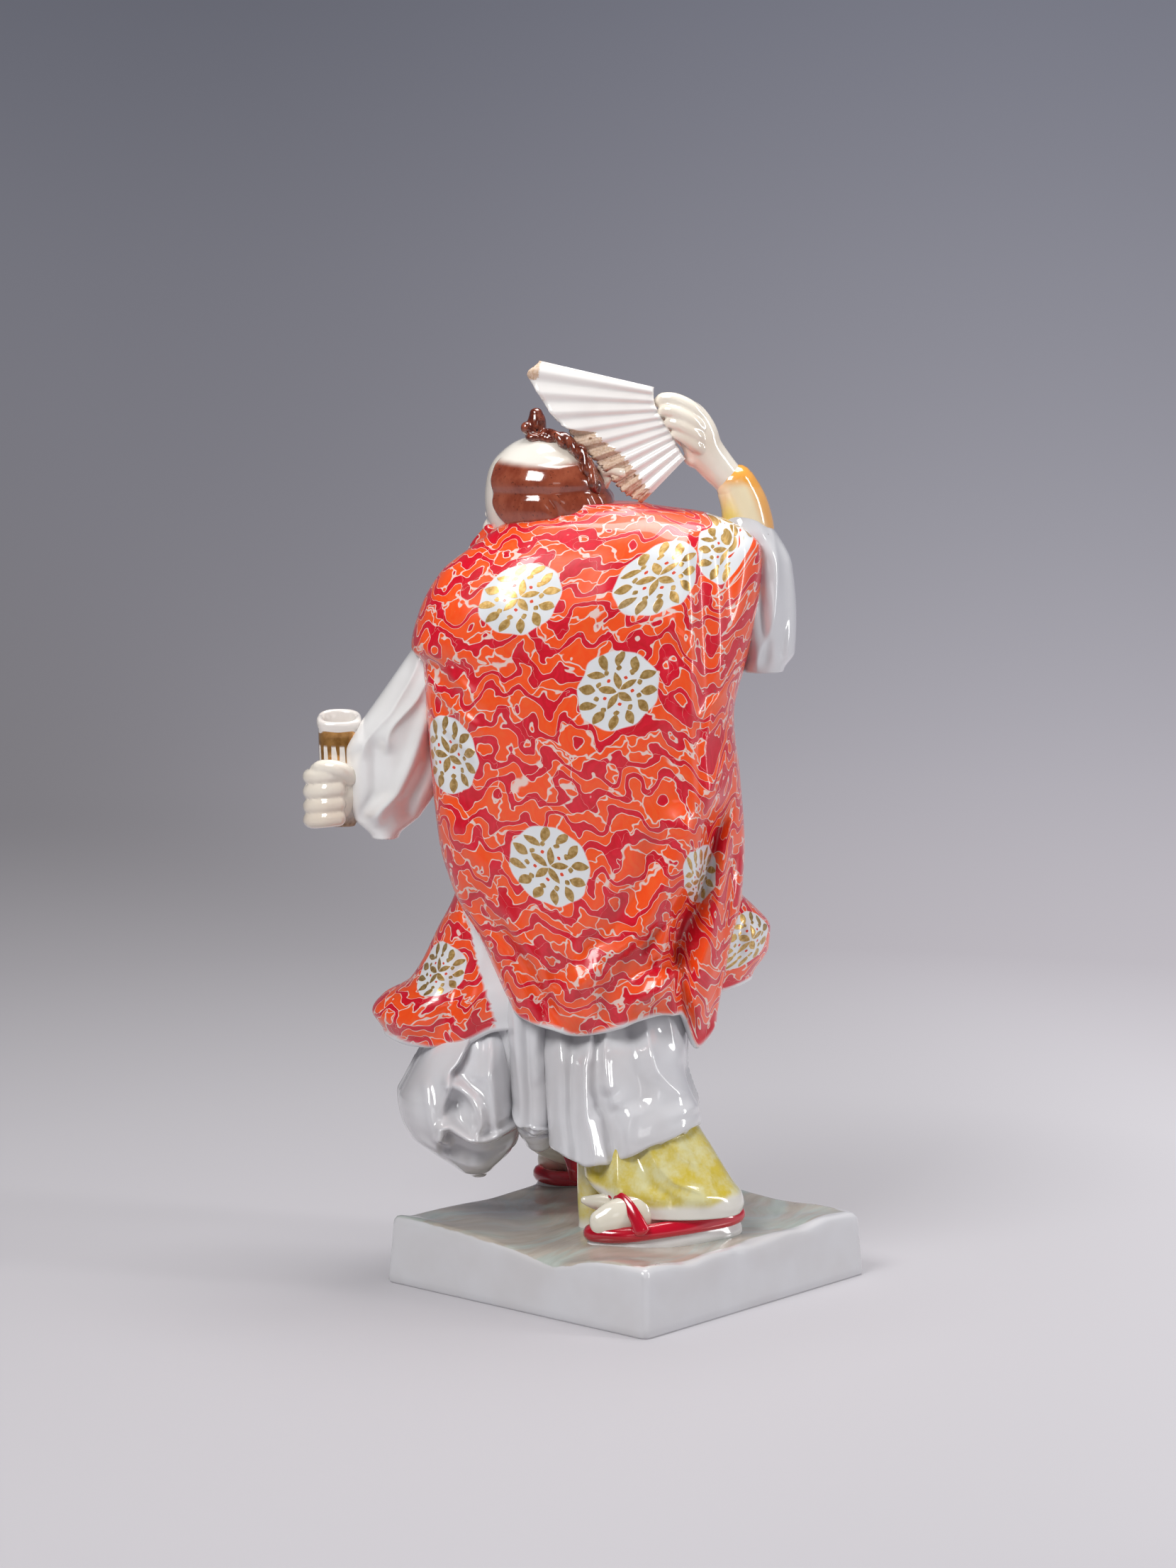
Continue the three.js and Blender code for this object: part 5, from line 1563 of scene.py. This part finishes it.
def tube_glaze():
    material, tree, shader = new_material("tube_glaze")
    surface = use_group(tree, GLAZE, {"Waves": 0.8, "Peel": 0.6, "Pinholes": 0.3})
    at = object_place(tree)
    white = blend(tree, rise(tree, surface["Tint"], 0.35, 0.7), sRGB(238, 232, 226), sRGB(222, 214, 208))
    brushed = rise(tree, noise(tree, at, 420, 3), 0.3, 0.7)
    gilding = blend(tree, brushed, sRGB(206, 152, 78), sRGB(170, 116, 48))
    gold = rise(tree, attribute(tree, "gold"), 0.4, 0.6)
    colour = blend(tree, gold, white, gilding)
    bare = attribute(tree, "bare")
    grain = rise(tree, noise(tree, at, 1200, 4), 0.35, 0.7)
    clay = blend(tree, grain, sRGB(178, 152, 126), sRGB(140, 112, 88))
    colour = blend(tree, bare, colour, clay)
    wire(tree, shader.inputs["Metallic"], times(tree, gold, 0.9))
    rough = plus(tree, 0.16, plus(tree, times(tree, bare, 0.5), times(tree, gold, 0.14)))
    finish_glaze(tree, shader, colour, surface, rough, coat=minus(tree, 1.0, bare))
    return material


def plinth_glaze():
    material, tree, shader = new_material("plinth_glaze")
    surface = use_group(tree, GLAZE, {"Waves": 1.0, "Peel": 0.5, "Pinholes": 1.0})
    at = object_place(tree)
    flow = vector(tree, "ADD", at, drift(tree, at, 22.0, 1.5, (0.05, 0.05, 0.0)))
    swirl = noise(tree, stretched(tree, flow, (24, 92, 24), turn=0.7), 1.0, 3.0, 0.55)
    fine = noise(tree, stretched(tree, flow, (60, 260, 60), turn=0.5), 1.0, 3.0, 0.6)
    green = blend(tree, rise(tree, fine, 0.2, 0.8), sRGB(166, 174, 165), sRGB(186, 193, 186))
    brown = blend(tree, rise(tree, fine, 0.2, 0.8), sRGB(172, 162, 149), sRGB(190, 180, 168))
    ground = blend(tree, rise(tree, swirl, 0.42, 0.6), green, brown)
    pink = rise(tree, noise(tree, stretched(tree, flow, (30, 30, 30), (4, 9, 1)), 1.0, 2), 0.62, 0.78)
    ground = blend(tree, times(tree, pink, 0.3), ground, sRGB(176, 152, 146))
    pale = rise(tree, noise(tree, stretched(tree, flow, (26, 26, 26), (14, 3, 7)), 1.0, 2), 0.56, 0.74)
    ground = blend(tree, times(tree, pale, 0.55), ground, sRGB(206, 211, 209))
    side = blend(tree, rise(tree, surface["Tint"], 0.3, 0.75), sRGB(214, 214, 217), sRGB(206, 204, 205))
    edge = times(tree, minus(tree, fine, 0.5), 0.7)
    mask = rise(tree, plus(tree, attribute(tree, "ground"), edge), 0.3, 0.75)
    colour = blend(tree, mask, side, ground)
    finish_glaze(tree, shader, colour, surface, 0.2, coat=0.4)
    return material


def take(piece, material):
    piece.data.materials.clear()
    piece.data.materials.append(material)
    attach(piece, "root")
    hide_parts(NODE)


# Making the figure

white = white_glaze("white_glaze", sRGB(240, 239, 238), sRGB(228, 226, 224))
# A copy of the white glaze painted darker and greyer: painted shade for the trousers under the mantle and for
# the right sleeve.
shaded_white = white_glaze("shaded_white_glaze", sRGB(218, 218, 221), sRGB(206, 204, 206))
warm = white_glaze("warm_glaze", sRGB(246, 238, 224), sRGB(234, 220, 202))
sock_white = white_glaze("sock_glaze", sRGB(232, 226, 210), sRGB(216, 208, 184))
mantle_paint = painted_mantle()
yellow = yellow_glaze()
red = red_enamel()

take(make_plinth(), plinth_glaze())
take(make_mantle(), mantle_paint)
take(make_front_panels(), mantle_paint)
for piece in make_lapels():
    take(piece, mantle_paint)
sleeve_left, sleeve_right = make_sleeves()
for piece in make_robe() + [sleeve_left]:
    take(piece, white)
# The trousers and the right sleeve take the white glaze with painted shade.
for piece in make_trousers() + [sleeve_right]:
    take(piece, shaded_white)
for piece in make_leggings():
    take(piece, yellow)
feet = [make_foot("near", heel=(36.5, -24), toe=(-13, -38), ground=PLINTH_HIGH - 0.9, aside=1, tilt=3.2),
        make_foot("far", heel=(4, 44), toe=(-30, 47.5), ground=PLINTH_HIGH - 0.8, aside=-1, tilt=0)]
for foot in feet:
    take(foot["sole"], white)
    take(foot["rim"], red)
    take(foot["sock"], sock_white)
    for strap in foot["straps"]:
        take(strap, red)

take(make_cuff(), cuff_glaze())
take(make_raised_hand(), warm)
take(make_fist(), warm)

take(make_tube(), tube_glaze())
take(make_head(), hair_and_skin())
take(make_hair_knot(), brown_glaze())
take(make_ear(), warm)
take(make_fan(), fan_glaze())


# Backdrop, light and camera

CAMERA_AT = Vector((1.021673, 0.878341, 0.343114))
CAMERA_AIM = Vector((0.00819, -0.00935, 0.161227))
VIEW_TURN = math.radians(131.214)
RIGHT = Vector((math.cos(VIEW_TURN), math.sin(VIEW_TURN), 0))
TOWARDS = Vector((math.sin(VIEW_TURN), -math.cos(VIEW_TURN), 0))
FLOOR_REACH = 1.1
WALL_REACH = 3.0
WALL_HIGH = 2.2
GLOW_REACH = 2.6


def make_backdrop():
    """A seamless sweep all round: a grid rolled into a flat floor that curves up into the wall."""
    rings, around = 60, 96
    deselect()
    bpy.ops.mesh.primitive_grid_add(x_subdivisions=around, y_subdivisions=rings, size=1)
    sweep = bpy.context.object
    sweep.name = sweep.data.name = "backdrop"
    across, along = coordinates(sweep)[:, :2].T + 0.5
    reach = curve([0, 0], [1, 0.6], [2, 1.1], [3, 1.5], [4, 2.0], [5, 2.6], [6, WALL_REACH])(6 * along)
    up = WALL_HIGH * (np.clip(reach - FLOOR_REACH, 0, None) / (WALL_REACH - FLOOR_REACH)) ** 2
    turn = 2 * math.pi * across
    move_points(sweep, np.stack([-reach * np.cos(turn), reach * np.sin(turn), up], -1))
    bpy.ops.object.mode_set(mode="EDIT")
    bpy.ops.mesh.select_all(action="SELECT")
    bpy.ops.mesh.remove_doubles(threshold=1e-5)
    bpy.ops.object.mode_set(mode="OBJECT")
    bpy.ops.object.shade_smooth()
    sweep.data.materials.append(backdrop_paint())
    sweep.visible_shadow = False


def backdrop_paint():
    """A pale floor near the figure that passes into a glow, with painted light: the glow is painted darker up
    the wall, in front and towards the left, as falling light.
    """
    material = bpy.data.materials.new("backdrop")
    material.use_nodes = True
    tree = material.node_tree
    tree.nodes.clear()
    out = tree.nodes.new("ShaderNodeOutputMaterial")
    at = object_place(tree)
    r = vector(tree, "LENGTH", vector(tree, "MULTIPLY", at, (1, 1, 0)))
    across = vector(tree, "DOT_PRODUCT", at, tuple(RIGHT))
    # The glow's colours are painted light: bright round the figure, darker further out and up the wall.
    glow = tree.nodes.new("ShaderNodeValToRGB")
    stops = [(0.0, (206, 203, 208)), (0.30, (204, 201, 206)), (0.63, (176, 172, 178)),
             (1.18, (162, 159, 166)), (1.44, (149, 147, 155)), (1.62, (139, 138, 147)),
             (1.80, (129, 129, 139)), (2.08, (107, 109, 121)), (GLOW_REACH, (92, 94, 106))]
    ramp = glow.color_ramp
    while len(ramp.elements) < len(stops):
        ramp.elements.new(0.5)
    for element, (place, colour) in zip(ramp.elements, stops):
        element.position = place / GLOW_REACH
        element.color = sRGB(*colour)
    wire(tree, glow.inputs[0], maths(tree, "DIVIDE", r, GLOW_REACH))
    # Painted light falloff: the glow is painted brighter to the right and darker to the left, more so near
    # the figure than up the wall.
    tilt = rise(tree, across, -0.38, 0.38, -0.3, 0.3)
    side = plus(tree, times(tree, tilt, rise(tree, r, 1.2, 1.9, 1.0, 0.55)), 0.97)
    # Painted shade: the glow is painted darker in front, towards the camera.
    nearer = vector(tree, "DOT_PRODUCT", at, tuple(TOWARDS))
    side = times(tree, side, rise(tree, nearer, 0.4, 0.9, 1.0, 0.3))
    strength = node(tree, "ShaderNodeEmission", {"Color": glow.outputs[0], "Strength": side})
    floor = node(tree, "ShaderNodeBsdfDiffuse", {"Color": sRGB(194, 191, 195)})
    # Towards the right the floor shows more of the painted glow and less of the lit floor, so little cast
    # shadow shows there.
    share = rise(tree, plus(tree, r, times(tree, across, 2.2)), 0.2, 0.9, 0.3, 1.0)
    mixer = node(tree, "ShaderNodeMixShader", {0: share, 1: floor.outputs[0], 2: strength.outputs[0]})
    tree.links.new(mixer.outputs[0], out.inputs[0])
    return material


def soft_light(name, right, towards, up, width, height, power, aim=0.16):
    """A lit rectangle, placed as the camera sees it and turned to a height above the plinth."""
    data = bpy.data.lights.new(name, "AREA")
    data.shape = "RECTANGLE"
    data.size, data.size_y = width, height
    data.energy = power
    lamp = bpy.data.objects.new(name, data)
    bpy.context.scene.collection.objects.link(lamp)
    lamp.location = RIGHT * right + TOWARDS * towards + Vector((0, 0, up))
    lamp.rotation_mode = "QUATERNION"
    lamp.rotation_quaternion = (Vector((0, 0, aim)) - lamp.location).to_track_quat("-Z", "Y")


make_backdrop()
soft_light("top_box", 0.1, -0.1, 0.98, 0.5, 0.46, 5.8, aim=0.2)
soft_light("key_box", -0.46, 0.66, 0.88, 0.46, 0.46, 9, aim=0.25)
soft_light("right_strip", 1.0, 0.3, 0.46, 0.12, 0.75, 4.6, aim=0.2)
soft_light("front_fill", 0.3, 1.7, 0.6, 0.4, 0.4, 0.7)

world = bpy.data.worlds.new("studio")
world.use_nodes = True
world.node_tree.nodes["Background"].inputs[0].default_value = sRGB(206, 205, 208)
world.node_tree.nodes["Background"].inputs[1].default_value = 0.1
bpy.context.scene.world = world

lens = bpy.data.cameras.new("camera")
lens.lens = 98
lens.sensor_width = 36
lens.clip_start = 0.05
lens.clip_end = 20
camera = bpy.data.objects.new("camera", lens)
bpy.context.scene.collection.objects.link(camera)
camera.location = CAMERA_AT
camera.rotation_mode = "QUATERNION"
camera.rotation_quaternion = (CAMERA_AIM - CAMERA_AT).to_track_quat("-Z", "Y")
bpy.context.scene.camera = camera
bpy.context.scene.view_settings.view_transform = "Standard"

bpy.context.view_layer.update()
